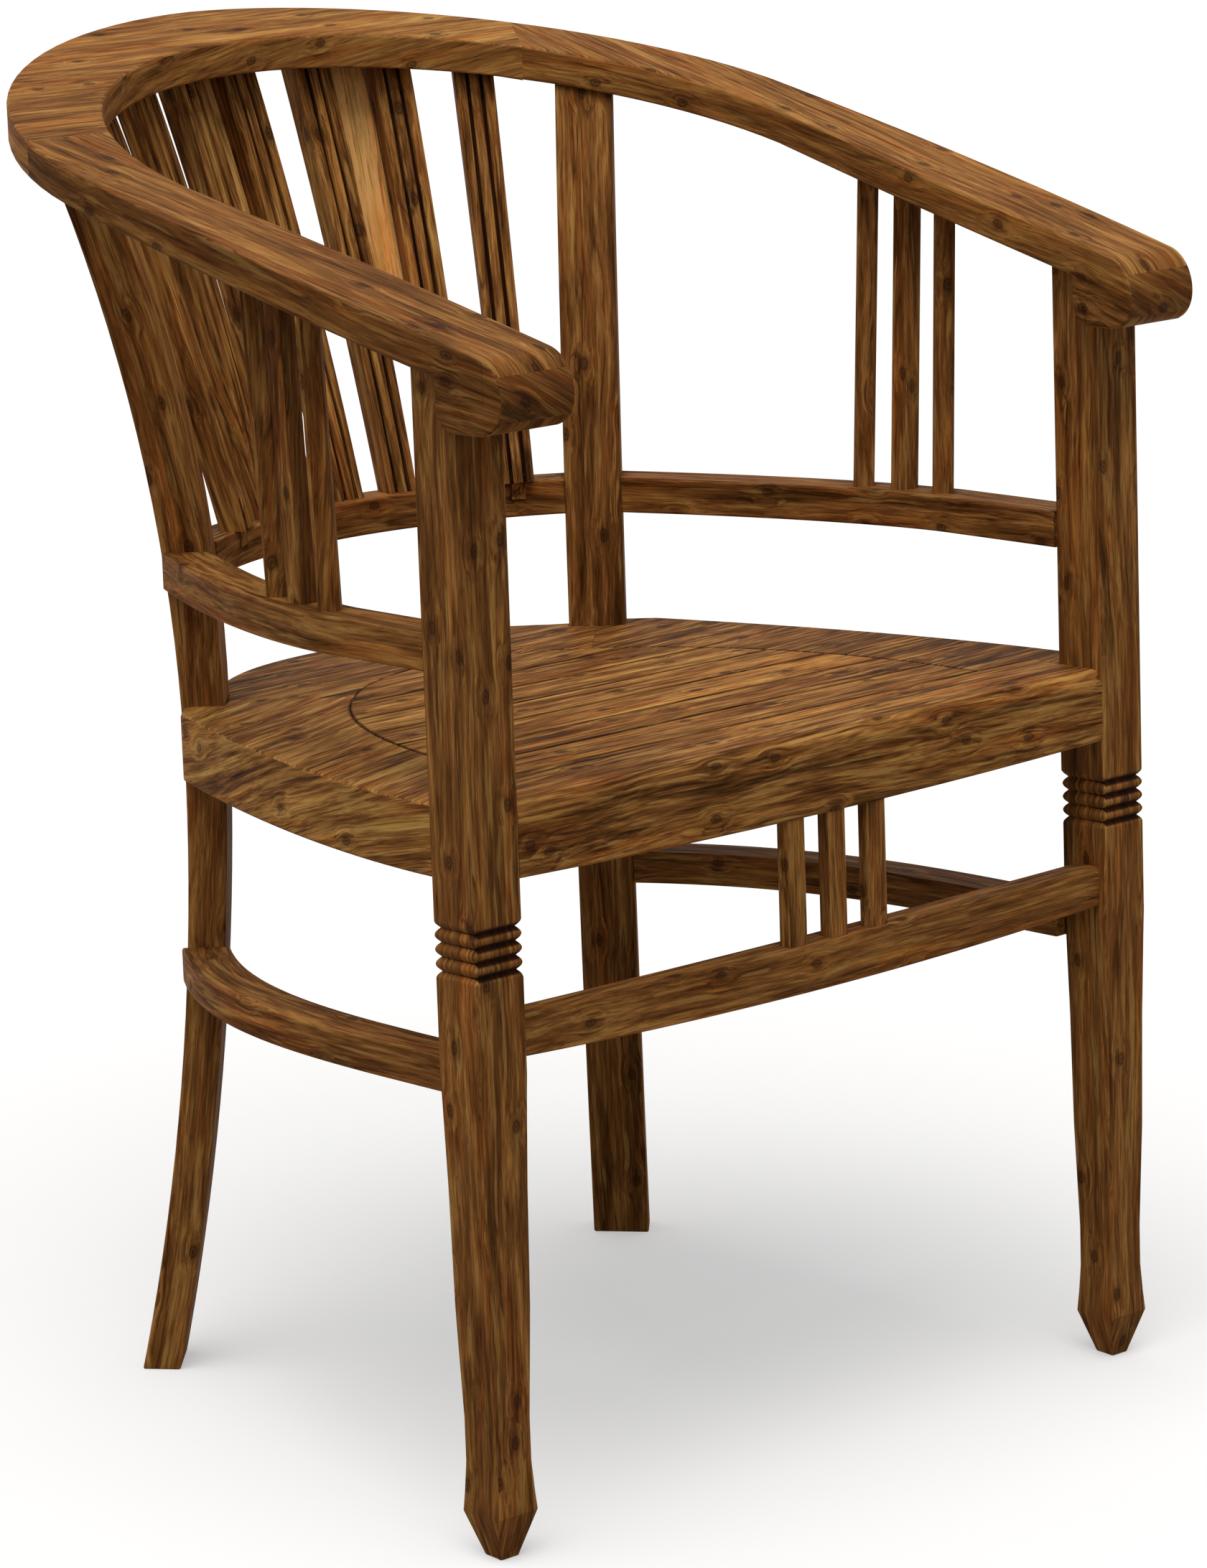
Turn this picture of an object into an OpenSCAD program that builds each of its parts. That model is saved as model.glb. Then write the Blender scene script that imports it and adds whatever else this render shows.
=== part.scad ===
// Barrel-back armchair of solid teak: a sloping horseshoe rail on two front legs
// and two sabre rear posts, a planked seat, a lower hoop rail and a fanned back.
// Millimetres, +Z up, the chair faces -Y, the sitter's left is +X.
// Every piece is drawn with upright legs and then leaned back by the rake.

/* [Overall] */
// Seat top above the front feet
seat_h = 449; // [435:1:465]
// Distance between the axes of the two front legs
leg_span = 524; // [510:1:540]
// Backward lean of the whole chair in degrees
rake = 3.3; // [2:0.1:4]
// Side of the square front leg above the taper
leg_w = 36; // [34:0.5:39]

/* [Horseshoe rail] */
// Height of the rail top above the front leg axis
arm_h = 721.5; // [710:0.5:735]
// Upward slope of the rail towards the back in degrees
rail_pitch = 13.6; // [12:0.1:14.5]
// Rail thickness, square to its slope
rail_t = 21.5; // [20:0.5:25]
// Overhang of the rail's outer edge beyond the leg axis where the bend starts
arm_over = 32; // [29:0.5:34]
// Width of the rail where the bend starts
rail_w = 50; // [48:0.5:54]
// Rear edge of the rail behind the post axis
back_reach = 193; // [188:1:198]
// Width of the rail at the middle of the back
crest_w = 63.5; // [60:0.5:66]
// Radius of the rounded arm nose
nose_r = 26; // [22:1:28]
// Depth of the arm front in front of the leg axis
nose_out = 63; // [60:1:68]
// Underside of the dropped arm front below the rail top at the leg axis
nose_drop = 55.5; // [52:0.5:62]
// Radius of the lower front corner of the arm nose
nose_corner = 20; // [16:0.5:20]
// Depth by which the arm front laps the front face of the leg
arm_lap = 7; // [4:0.5:7]
// Distance of the straight seam of the right arm in front of the post axis
seam_right_in = 2; // [-8:1:12]
// Direction of the radial seam of the left arm, in degrees from +X
seam_left_turn = 55.5; // [50:0.5:60]

/* [Front legs] */
// Depth of the turned grooves in each leg face
groove_depth = 2.6; // [1.5:0.1:3.5]
// Distance between two grooves
groove_pitch = 8.5; // [7.5:0.1:9.5]
// Height of the lowest groove
groove_low = 351.5; // [345:0.5:356]
// Width of the ankle
ankle_w = 27.6; // [25:0.2:30]
// Width of the foot swelling
foot_w = 31.4; // [30:0.2:34]
// Width of the flat foot tip
tip_w = 14; // [12:1:18]

/* [Rear posts] */
// Distance of the post axis inside the leg axis, at the seat
post_in = 96; // [92:1:102]
// Distance of the post axis behind the leg axis at the seat
post_y = 359; // [354:1:362]
// Width of a post square to its bend
post_w = 37; // [34:1:39]
// Radius of the outer edge below the seat
post_out_low = 1676; // [1600:10:1800]
// Radius of the outer edge above the seat
post_out_high = 1128; // [1090:10:1180]
// Radius of the inner edge below the seat
post_in_low = 1960; // [1850:10:2050]
// Radius of the inner edge above the seat
post_in_high = 980; // [950:10:1010]

/* [Seat] */
// Height of the front rail
front_rail_t = 45; // [42:1:48]
// Thickness of the side and back boards of the seat
board_t = 43; // [38:1:45]
// Thickness of the planks
plank_t = 16; // [14:0.5:18]
// Width of the rearmost plank at the middle
last_plank_w = 58; // [50:1:66]
// Open joint between two planks
plank_gap = 2; // [1:0.2:3]
// Rear edge of the front rail behind the leg axis
front_rail_back = 43; // [40:1:48]
// Radius of the rounded top edge of the front rail
front_round = 9; // [5:1:12]
// How far the front rail hangs lower in the middle
belly = 4; // [1:0.5:6]
// Width of a side board beside the front leg
side_board_w = 49; // [44:1:54]
// Width of the back board at the middle
back_board_w = 95; // [90:1:102]
// How far the seat's side edge lies outside the post axis, just before the post
side_beyond = 35.5; // [33:0.5:37]
// Rear edge of the seat at the middle behind the post axis
seat_over = 71; // [66:1:76]
// Ledge that carries the plank ends
ledge = 12; // [8:1:14]

/* [Stretchers] */
// Top of the front stretcher
front_str_top = 323; // [318:1:328]
// Height of the front stretcher
front_str_h = 25; // [22:1:30]
// Top of the side stretchers
side_str_top = 296; // [290:1:300]
// Height of the side stretchers
side_str_h = 21.5; // [20:0.5:24]
// Width of the side stretchers
side_str_w = 30; // [26:1:32]
// Thickness of the front stretcher
str_t = 20; // [18:1:22]
// How far the front stretcher hangs lower in the middle
front_str_belly = 5; // [1:0.5:7]
// Bow of the front stretcher
front_bow = 5; // [2:0.5:7]

/* [Hoop and spindles] */
// Top of the lower hoop rail
hoop_top = 546; // [538:1:554]
// Height of the lower hoop rail
hoop_h = 23; // [20:1:26]
// Width of the hoop side rails
hoop_w = 30; // [28:1:32]
// Width of the hoop back rail
hoop_back_w = 28; // [26:1:30]
// Side of a square side spindle
spindle_w = 13.5; // [12:0.5:15]
// Distance between the side spindles
spindle_pitch = 30; // [27:0.5:33]
// Outward lean of a side spindle between foot and head
spindle_lean = 9; // [5:0.5:11]
// Width of a front spindle
front_sp_w = 15; // [13:0.5:17]
// Thickness of a front spindle
front_sp_t = 9; // [8:0.5:11]
// Distance between the front spindles
front_sp_pitch = 34; // [30:1:38]
// Distance of the middle front spindle from the middle of the chair
front_sp_mid = 11; // [-20:1:20]

/* [Back slats] */
// Angle between two slat feet, seen from the fan centre
foot_step = 12.7; // [12.4:0.1:12.9]
// Angle between two slat heads, seen from the fan centre
head_step = 11.8; // [11.5:0.1:12.2]
// Offset of the middle slat's foot from the middle of the chair
foot_shift = 9; // [-9:0.5:9]
// Offset of the middle slat's head from the middle of the chair
head_shift = 6; // [-9:0.5:9]
// Extra turn towards the middle of the slat heads on the sitter's right
head_nudge = 4.6; // [0:0.2:5]
// Distance of the slat feet behind the middle line of the hoop
foot_back = 2; // [0:0.5:3]
// Distance of the slat heads from the rear edge of the rail
head_in = 30; // [27:0.5:34]
// Width of a slat at the head
slat_head_w = 26.5; // [24:0.5:28]
// Width of a slat at the foot
slat_foot_w = 20.5; // [18:0.5:21.5]
// Thickness of a slat at the head
slat_head_t = 20; // [17:0.5:22]
// Thickness of a slat at the foot
slat_foot_t = 17; // [14:0.5:18]
// Hollow of the slats between foot and head
slat_bow = 5; // [2:0.5:8]
// Thickness of the two short plain slats behind the gaps
plain_t = 5; // [4:0.5:6]
// Height of the lower ends of the two short plain slats
plain_low = 655; // [640:5:670]
// Depth of the two grooves in a slat face
slat_groove = 3; // [1.5:0.5:4]

/* [Joints] */
// Clearance on each side of a tenon, dowel or screw
fit = 0.2; // [0.1:0.05:0.3]
// Depth of the tenons in the front legs and posts
tenon_d = 14; // [12:0.5:15]
// Depth of the stub tenons in the thin rails
stub_d = 12; // [8:1:14]
// Diameter of the wooden dowels
dowel_d = 8; // [6:1:9]
// Diameter of the screw shanks
screw_d = 4; // [3:0.5:5]

/* [Hidden] */
$fn = 48;
leg_x = leg_span / 2;
half_leg = leg_w / 2;
leg_in = leg_x - half_leg;
leg_out = leg_x + half_leg;
half_post = post_w / 2;
post_x = leg_x - post_in;
glue = 0.6;

// Reach of the helper shapes: half width and height, in front of and behind the leg axis
big = 900;
far_front = -100;
far_back = 700;

// Point in plan on a post's front (s = -1) or rear (s = 1) face, r outside its axis
function on_post(r, s) = [post_x + (r - s * half_post) * sqrt(0.5), post_y + (r + s * half_post) * sqrt(0.5)];

// The rail's sloping planes: top and underside height over y
rail_slope = tan(rail_pitch);
rail_v = rail_t / cos(rail_pitch);
function top_z(y) = arm_h + rail_slope * y;
function low_z(y) = top_z(y) - rail_v;

// Plan curves of the horseshoe: a superellipse behind, a slight bow in front
outer_half = leg_x + arm_over;
inner_half = outer_half - rail_w;
rail_back = post_y + back_reach;
outer_yc = post_y - 61;
inner_yc = post_y - 102;
outer_bend = rail_back - outer_yc;
inner_bend = rail_back - crest_w - inner_yc;
outer_pow = 1.827;
inner_pow = 1.984;
function bend(a, yc, b, n, t) = [a * pow(sin(t), 2 / n), yc + b * pow(cos(t), 2 / n)];
function arm_side(a, yc, s, c, y) = [a + s * (yc - y) + c * (yc - y) * (yc - y) / 1000, y];
function half_plan(a, yc, b, n, s, c, y0) = concat(
    [for (i = [0 : 11]) arm_side(a, yc, s, c, y0 + (yc - y0) * i / 12)],
    [for (i = [0 : 24]) bend(a, yc, b, n, 90 - 90 * i / 24)]);
nose_space = nose_out + 17;
outer_half_plan = half_plan(outer_half, outer_yc, outer_bend, outer_pow, 0.05, -0.215, -nose_space);
inner_half_plan = half_plan(inner_half, inner_yc, inner_bend, inner_pow, -0.085, 0.115, -nose_space);
function flip(p) = [for (i = [len(p) - 1 : -1 : 0]) [-p[i][0], p[i][1]]];
function turned(p) = [for (i = [len(p) - 1 : -1 : 0]) p[i]];
function cut_last(p) = [for (i = [0 : len(p) - 2]) p[i]];
function whole(p) = concat(cut_last(p), flip(p));
function arc_pts(c, r, a0, a1, n) = [for (i = [0 : n])
    [c[0] + r * cos(a0 + (a1 - a0) * i / n), c[1] + r * sin(a0 + (a1 - a0) * i / n)]];

// Arm nose: one large arc tangent to the rail top, then two small corners
nose_c = [nose_r - nose_out, top_z(nose_r - nose_out) - nose_r / cos(rail_pitch)];
nose_low = arm_h - nose_drop;
corner_r = min(nose_corner, nose_c[1] - nose_low - 0.5);
drop_r = 15;
drop_c = [arm_lap - half_leg - drop_r, nose_low + drop_r];

// World placement: the box is centred on x and y and the feet stand on z = 0
back_max = rail_back * cos(rake) + top_z(rail_back) * sin(rake);
front_max = nose_c[0] * cos(rake) + nose_c[1] * sin(rake) - nose_r;
mid_y = (back_max + front_max) / 2;

// Post edges in the plane of the bend: tangent arcs that meet at the seat
post_out_z = 410;
post_in_z = 450;
post_out_r = 12.7;
post_in_r = -13;
function sag(dz, rad) = rad - sqrt(rad * rad - dz * dz);
function out_r(z) = post_out_r + sag(z - post_out_z, z < post_out_z ? post_out_low : post_out_high);
function in_r(z) = post_in_r + sag(z - post_in_z, z < post_in_z ? post_in_low : post_in_high);

// Seat curves
front_low = seat_h - front_rail_t;
board_low = seat_h - board_t;
plank_low = seat_h - plank_t;
seat_post_r = 11.5;
side_pow = 1.608;
side_len = post_y - 19.5 - half_leg;
side_draw = leg_out - 0.5 - post_x - side_beyond;
seat_back = post_y + seat_over;
back_pow = 2.7;
back_drop = 59;
back_at = post_x - 16;
function side_x(y) = leg_out - 0.5 - side_draw * pow((y - half_leg) / side_len, side_pow);
function back_y(x) = seat_back - back_drop * pow(abs(x) / back_at, back_pow);
seam_yc = 50;
seam_half = leg_in - side_board_w;
seam_depth = seat_back - back_board_w - seam_yc;
plank_n = 7;
plank_pitch = (seam_yc + seam_depth - front_rail_back - last_plank_w) / (plank_n - 1);

// Centre lines of the hoop's side rail and of the side stretcher: both end on the post's front face
hoop_x = leg_x - 6;
hoop_y0 = 115;
hoop_post_r = 5;
hoop_end = on_post(hoop_post_r, -1);
hoop_draw = hoop_x - hoop_end[0];
hoop_len = hoop_end[1] - hoop_y0;
hoop_pow = 1.55;
function hoop_cx(y) = y < hoop_y0 ? hoop_x : hoop_x - hoop_draw * pow((y - hoop_y0) / hoop_len, hoop_pow);
str_x = leg_x - 10.5;
str_y0 = 60;
str_post_r = 5;
str_end = on_post(str_post_r, -1);
str_draw = str_x - str_end[0];
str_len = str_end[1] - str_y0;
str_pow = 2.9;
function str_cx(y) = y < str_y0 ? str_x : str_x - str_draw * pow((y - str_y0) / str_len, str_pow);

// Arc of the hoop's back rail, from post to post
hoop_back_r = 277;
hoop_back_end = on_post(hoop_post_r, 1);
hoop_back_c = hoop_back_end[1] - sqrt(hoop_back_r * hoop_back_r - hoop_back_end[0] * hoop_back_end[0]);

// A band of constant width along a row of centre points
function unit(v) = v / norm(v);
function dir_at(p, i) = unit(p[min(i + 1, len(p) - 1)] - p[max(i - 1, 0)]);
function beside(p, i, d) = p[i] + d * [dir_at(p, i)[1], -dir_at(p, i)[0]];
function ribbon(p, w) = concat(
    [for (i = [0 : len(p) - 1]) beside(p, i, w / 2)],
    [for (i = [len(p) - 1 : -1 : 0]) beside(p, i, -w / 2)]);

// Slat fan
fan_y = post_y - 119;
foot_r = hoop_back_c + hoop_back_r + foot_back - fan_y;
head_r = rail_back - head_in - fan_y;
slat_side = 3;
slat_top_z = low_z(fan_y + head_r);
slat_rise = slat_top_z - hoop_top;
function slat_r(z) = let (s = (z - hoop_top) / slat_rise)
    foot_r + (head_r - foot_r) * s - 4 * slat_bow * s * (1 - s);
function slat_t(z) = slat_foot_t + (slat_head_t - slat_foot_t) * (z - hoop_top) / slat_rise;
function slat_w(z) = slat_foot_w + (slat_head_w - slat_foot_w) * (z - hoop_top) / slat_rise;
plain_gap = 0.6;
plain_k = [1.5, -0.5];

// Direction of slat k and the sideways places of its foot and head in its own frame
function head_turn(k) = k * head_step + head_nudge * min(1, max(0, -k / 1.75));
function fan_turn(k) = (k * foot_step + head_turn(k)) / 2;
function foot_side(k) = foot_r * sin(k * foot_step - fan_turn(k)) + foot_shift * cos(fan_turn(k));
function head_side(k) = head_r * sin(head_turn(k) - fan_turn(k)) + head_shift * cos(fan_turn(k));
function side_lean(k) = atan((head_side(k) - foot_side(k)) / slat_rise);
function side_at(k, z) = foot_side(k) + (head_side(k) - foot_side(k)) * (z - hoop_top) / slat_rise;

// Room at height z between the middle of plain slat k and its neighbour on side s
function room(k, s, z) = let (n = k + s / 2, a = s * (fan_turn(n) - fan_turn(k)),
    r = slat_r(z), q = s * side_at(n, z))
    r * sin(a) + q * cos(a) - slat_w(z) / 2 / cos(a)
    + tan(a) * (r + slat_t(z) / 2 - plain_t - r * cos(a) + q * sin(a)) - s * side_at(k, z);
function plain_w(k, z) = 2 * (min(room(k, -1, z), room(k, 1, z)) - plain_gap);

teak = [0.47, 0.29, 0.13];
teak_dark = [0.38, 0.23, 0.10];
teak_light = [0.55, 0.35, 0.16];
dowel_wood = [0.70, 0.52, 0.30];
steel = [0.62, 0.60, 0.55];

// Placement and helper shapes

module placed() translate([0, -mid_y, 0]) rotate([-rake, 0, 0]) children();

// Mirrors a left piece (+X) to the right side (-X) of the chair
module on_side(s) mirror([s < 0 ? 1 : 0, 0, 0]) children();

// A profile drawn as [y, z], extruded across the chair from x0 to x1
module across(x0, x1) translate([x0, 0, 0]) rotate([90, 0, 90]) linear_extrude(x1 - x0) children();

// A profile drawn as [x, z], extruded along y from y0 to y1
module along(y0, y1) translate([0, y1, 0]) rotate([90, 0, 0]) linear_extrude(y1 - y0) children();

// Local frame of the left rear post: x outwards, y towards the middle of the back
module at_post() translate([post_x, post_y, 0]) rotate([0, 0, 45]) children();

// Everything above the floor plane
module above_floor() rotate([rake, 0, 0]) translate([-big / 2, -big / 2, 0]) cube([big, 2 * big, 1.2 * big]);

// Everything below the underside of the horseshoe rail
module under_rail() across(-big / 2, big / 2)
    polygon([[far_front, far_front], [far_back, far_front], [far_back, low_z(far_back)],
        [far_front, low_z(far_front)]]);

module box_at(lo, hi) translate(lo) cube(hi - lo);

// A rod of diameter d and length l centred at p, heading h, elevation e
module rod_at(p, h, e, d, l) translate(p) rotate([0, 0, h]) rotate([0, 90 - e, 0])
    cylinder(h = l, d = d, center = true);

module soft_square(s, c) polygon([
    [-s / 2 + c, -s / 2], [s / 2 - c, -s / 2], [s / 2, -s / 2 + c], [s / 2, s / 2 - c],
    [s / 2 - c, s / 2], [-s / 2 + c, s / 2], [-s / 2, s / 2 - c], [-s / 2, -s / 2 + c]]);

// Horseshoe rail

module horseshoe_plan() polygon(concat(whole(outer_half_plan), turned(whole(inner_half_plan))));

// Zone of the crest in plan: straight seam on the right, radial seam on the left
seam_right_y = post_y - seam_right_in;
seam_left = [post_x + 6, post_y + 61];
seam_left_dir = [cos(seam_left_turn), sin(seam_left_turn)];
seam_left_start = seam_left + seam_left_dir * (seam_right_y - seam_left[1]) / seam_left_dir[1];
seam_left_end = seam_left + big / 4 * seam_left_dir;
module crest_zone() polygon([[-big / 2, seam_right_y], seam_left_start, seam_left_end,
    [seam_left_end[0], far_back], [-big / 2, far_back]]);

module rail_band() across(-big / 2, big / 2)
    polygon([[far_front, low_z(far_front)], [far_back, low_z(far_back)],
        [far_back, top_z(far_back)], [far_front, top_z(far_front)]]);

// Side view of an arm: the rail band with the nose turned down in front of the leg
module arm_profile() polygon(concat(
    [[far_back, low_z(far_back)], [far_back, top_z(far_back)]],
    arc_pts(nose_c, nose_r, 90 + rail_pitch, 180, 16),
    arc_pts([corner_r - nose_out, nose_low + corner_r], corner_r, 180, 270, 12),
    arc_pts(drop_c, drop_r, 270, 360, 10),
    [[drop_c[0] + drop_r, low_z(drop_c[0] + drop_r)]]));

// The part of that side view that laps the front face of the leg
module lap_profile() polygon(concat(
    arc_pts(drop_c, drop_r, 270, 360, 10),
    [[drop_c[0] + drop_r, arm_h + 30], [drop_c[0], arm_h + 30]]));

seam_r_mid = [42.5 - outer_half, seam_right_y, top_z(seam_right_y) - rail_v / 2];
seam_l_mid = [for (k = [0 : 1]) seam_left[k] + 29 * seam_left_dir[k]];
dowel_out = 11.5;
dowel_l = 44;

module crest_dowel_rods(grow) {
    for (k = [-1, 1])
        rod_at(seam_r_mid + [k * dowel_out, 0, 0], 90, rail_pitch, dowel_d + 2 * grow, dowel_l + 2 * grow);
    for (k = [-1, 1]) let (q = [for (m = [0 : 1]) seam_l_mid[m] + k * dowel_out * seam_left_dir[m]])
        rod_at([q[0], q[1], top_z(q[1]) - rail_v / 2], seam_left_turn + 90,
            atan(rail_slope * cos(seam_left_turn)), dowel_d + 2 * grow, dowel_l + 2 * grow);
}

module crest_rail() color(teak) placed() difference() {
    intersection() {
        linear_extrude(1.2 * big) intersection() {
            horseshoe_plan();
            crest_zone();
        }
        rail_band();
    }
    crest_dowel_rods(fit);
    slat_tenons(fit, 1);
    for (s = [-1, 1]) on_side(s) post_head(fit);
}

module arm_body(s) intersection() {
    linear_extrude(1.2 * big) intersection() {
        difference() {
            horseshoe_plan();
            crest_zone();
        }
        translate([s < 0 ? -big / 2 : 0, 2 * far_front]) square([big / 2, big]);
    }
    across(-big / 2, big / 2) arm_profile();
}

module arm_right() color(teak_light) placed() difference() {
    arm_body(-1);
    crest_dowel_rods(fit);
    on_side(-1) leg_head(fit);
    on_side(-1) post_head(fit);
    on_side(-1) side_spindle_cores(fit);
}

module arm_left() color(teak_light) placed() difference() {
    arm_body(1);
    crest_dowel_rods(fit);
    leg_head(fit);
    post_head(fit);
    side_spindle_cores(fit);
}

module crest_dowels() color(dowel_wood) placed() crest_dowel_rods(0);

// Front legs

function groove_at(i) = groove_low + i * groove_pitch;
groove_half = 2.7;

// Half width of the leg over its height, from the tip up, grooves included
leg_edge = concat(
    [[tip_w / 2, -4], [tip_w / 2, 0], [foot_w / 2, 28], [foot_w / 2 - 0.9, 40], [ankle_w / 2, 58],
     [ankle_w / 2, 84], [ankle_w / 2 + 1.9, 151], [half_leg - 1.5, 222], [half_leg - 0.4, 275],
     [half_leg, 290]],
    [for (i = [0 : 3], k = [-1 : 1])
        [half_leg - (k == 0 ? groove_depth : 0), groove_at(i) + k * groove_half]]);
leg_edge_low = len(leg_edge);

function leg_outline(z_in, z_out) = concat(
    leg_edge, [[half_leg, z_out], [-half_leg, z_in]],
    [for (i = [leg_edge_low - 1 : -1 : 0]) [-leg_edge[i][0], leg_edge[i][1]]]);

head_w = 20;
module leg_head(grow) box_at(
    [leg_x - head_w / 2 - grow, -head_w / 2 - grow, low_z(0) - 12],
    [leg_x + head_w / 2 + grow, head_w / 2 + grow, low_z(0) + stub_d - 1 + (grow > 0 ? glue : 0)]);

module front_leg_solid() difference() {
    union() {
        intersection() {
            across(leg_in - 5, leg_out + 5) polygon(leg_outline(low_z(-half_leg), low_z(half_leg)));
            translate([leg_x, 0, 0]) along(-30, 30) polygon(leg_outline(big, big));
            above_floor();
        }
        leg_head(0);
    }
    across(leg_in - 5, leg_out + 5) lap_profile();
    front_rail_tenon(fit);
    board_leg_tenon(fit);
    front_stretcher_tenon(fit);
    side_stretcher_tenons(fit);
    hoop_leg_tenon(fit);
}

module front_leg_right() color(teak) placed() on_side(-1) front_leg_solid();
module front_leg_left() color(teak) placed() on_side(1) front_leg_solid();

// Rear posts

post_top_z = low_z(post_y + 43);
post_low_z = -10;
post_high_z = post_top_z + 63.4;
post_rows = [for (i = [0 : 40]) post_low_z + (post_high_z - post_low_z) * i / 40];
module post_profile() polygon(concat(
    [for (z = post_rows) [out_r(z), z]],
    [for (i = [40 : -1 : 0]) [in_r(post_rows[i]), post_rows[i]]]));

post_head_r = (out_r(post_top_z) + in_r(post_top_z)) / 2;
module post_head(grow) at_post() box_at(
    [post_head_r - 8 - grow, -10 - grow, post_top_z - 14],
    [post_head_r + 8 + grow, 10 + grow, post_top_z + stub_d - 1 + (grow > 0 ? glue : 0)]);

module rear_post_solid() difference() {
    union() {
        intersection() {
            at_post() rotate([90, 0, 0]) linear_extrude(post_w, center = true) post_profile();
            under_rail();
            above_floor();
        }
        post_head(0);
    }
    board_post_tenons(fit);
    side_stretcher_tenons(fit);
    hoop_post_tenon(fit);
    hoop_back_tenon(fit);
}

module rear_post_right() color(teak_dark) placed() on_side(-1) rear_post_solid();
module rear_post_left() color(teak_dark) placed() on_side(1) rear_post_solid();

// Seat

// Planked opening, drawn in by d: straight in front, half an ellipse behind
module opening_plan(d, y0) polygon(concat([[seam_half - d, y0]],
    [for (i = [0 : 36]) [(seam_half - d) * cos(5 * i), seam_yc + (seam_depth - d) * sin(5 * i)]],
    [[d - seam_half, y0]]));

front_tenon_h = 30;
module front_rail_tenon(grow) box_at(
    [leg_in - 1, -12 - grow, front_low + 7 - grow],
    [leg_in + tenon_d + (grow > 0 ? glue : 0), -1 + grow, front_low + 7 + front_tenon_h + grow]);

module seat_front_rail() color(teak) placed() difference() {
    union() {
        intersection() {
            along(-half_leg, front_rail_back + ledge) polygon(concat(
                [[leg_in, seat_h], [-leg_in, seat_h]],
                [for (i = [-12 : 12]) [leg_in * i / 12, front_low - belly * (1 - i * i / 144)]]));
            across(-leg_in, leg_in) polygon(concat(
                [[front_rail_back, seat_h]],
                arc_pts([front_round - half_leg, seat_h - front_round], front_round, 90, 180, 9),
                [[-half_leg, front_low - 10], [front_rail_back + ledge, front_low - 10],
                 [front_rail_back + ledge, plank_low], [front_rail_back, plank_low]]));
            linear_extrude(big) union() {
                translate([-leg_in, -half_leg]) square([2 * leg_in, half_leg + front_rail_back]);
                translate([ledge - seam_half, 0]) square([2 * (seam_half - ledge), front_rail_back + ledge]);
            }
        }
        for (s = [-1, 1]) on_side(s) front_rail_tenon(0);
    }
    for (s = [-1, 1]) on_side(s) frame_front_dowel(fit);
    front_spindle_cores(fit);
}

module side_board_plan(d, y0) difference() {
    intersection() {
        polygon(concat([[0, half_leg]],
            [for (i = [0 : 24]) let (y = half_leg + (post_y + 21 - half_leg) * i / 24) [side_x(y), y]],
            [[0, post_y + 21]]));
        at_post() translate([-big, -big]) square([big + seat_post_r, big]);
    }
    opening_plan(d, y0);
    translate([-1, -1]) square([leg_in + 1, front_rail_back + 1]);
    at_post() translate([post_in_r - 0.6, -half_post]) square([80, post_w]);
}

module back_board_plan(d) difference() {
    intersection() {
        polygon(concat([[post_x + 44, post_y / 2], [-post_x - 44, post_y / 2]],
            [for (i = [-24 : 24]) let (x = (post_x + 34) * i / 24) [x, back_y(x)]]));
        at_post() translate([-big, 0]) square([big + seat_post_r, big]);
        mirror([1, 0]) at_post() translate([-big, 0]) square([big + seat_post_r, big]);
    }
    opening_plan(d, 0);
    for (s = [-1, 1]) mirror([s < 0 ? 1 : 0, 0]) at_post()
        translate([post_in_r - 0.6, -half_post]) square([80, post_w]);
}

module board_leg_tenon(grow) box_at(
    [leg_x - 1 - grow, half_leg - tenon_d - (grow > 0 ? glue : 0), board_low + 8 - grow],
    [leg_x + 10 + grow, half_leg + 1, board_low + 8 + front_tenon_h + grow]);

// Stub tenons of the side board (k = -1) and the back board (k = 1) in the post
module board_post_tenon(k, grow) at_post() mirror([0, k < 0 ? 1 : 0, 0]) box_at(
    [post_in_r + 3 - grow, half_post - tenon_d + 4 - (grow > 0 ? glue : 0), board_low + 10 - grow],
    [-3 + grow, half_post + 1, board_low + 34 + grow]);
module board_post_tenons(grow) for (k = [-1, 1]) board_post_tenon(k, grow);

frame_dowel_z = board_low + 15;
module mitre_dowels(grow) at_post() for (r = [-34, -72])
    rod_at([r, 0, frame_dowel_z], 90, 0, dowel_d + 2 * grow, dowel_l + 2 * grow);
module frame_front_dowel(grow) rod_at([leg_in - 26, front_rail_back, frame_dowel_z + 6], 90, 0,
    dowel_d + 2 * grow, dowel_l + 2 * grow);

module side_board_solid() difference() {
    union() {
        translate([0, 0, plank_low]) linear_extrude(plank_t) side_board_plan(0, 0);
        translate([0, 0, board_low]) linear_extrude(board_t - plank_t) side_board_plan(ledge, 0);
        board_leg_tenon(0);
        board_post_tenon(-1, 0);
    }
    mitre_dowels(fit);
    frame_front_dowel(fit);
}

module seat_board_right() color(teak) placed() on_side(-1) side_board_solid();
module seat_board_left() color(teak) placed() on_side(1) side_board_solid();

module seat_board_back() color(teak) placed() difference() {
    union() {
        translate([0, 0, plank_low]) linear_extrude(plank_t) back_board_plan(0);
        translate([0, 0, board_low]) linear_extrude(board_t - plank_t) back_board_plan(ledge);
        for (s = [-1, 1]) on_side(s) board_post_tenon(1, 0);
    }
    for (s = [-1, 1]) on_side(s) mitre_dowels(fit);
}

module seat_frame_dowels() color(dowel_wood) placed() for (s = [-1, 1]) on_side(s) {
    mitre_dowels(0);
    frame_front_dowel(0);
}

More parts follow.
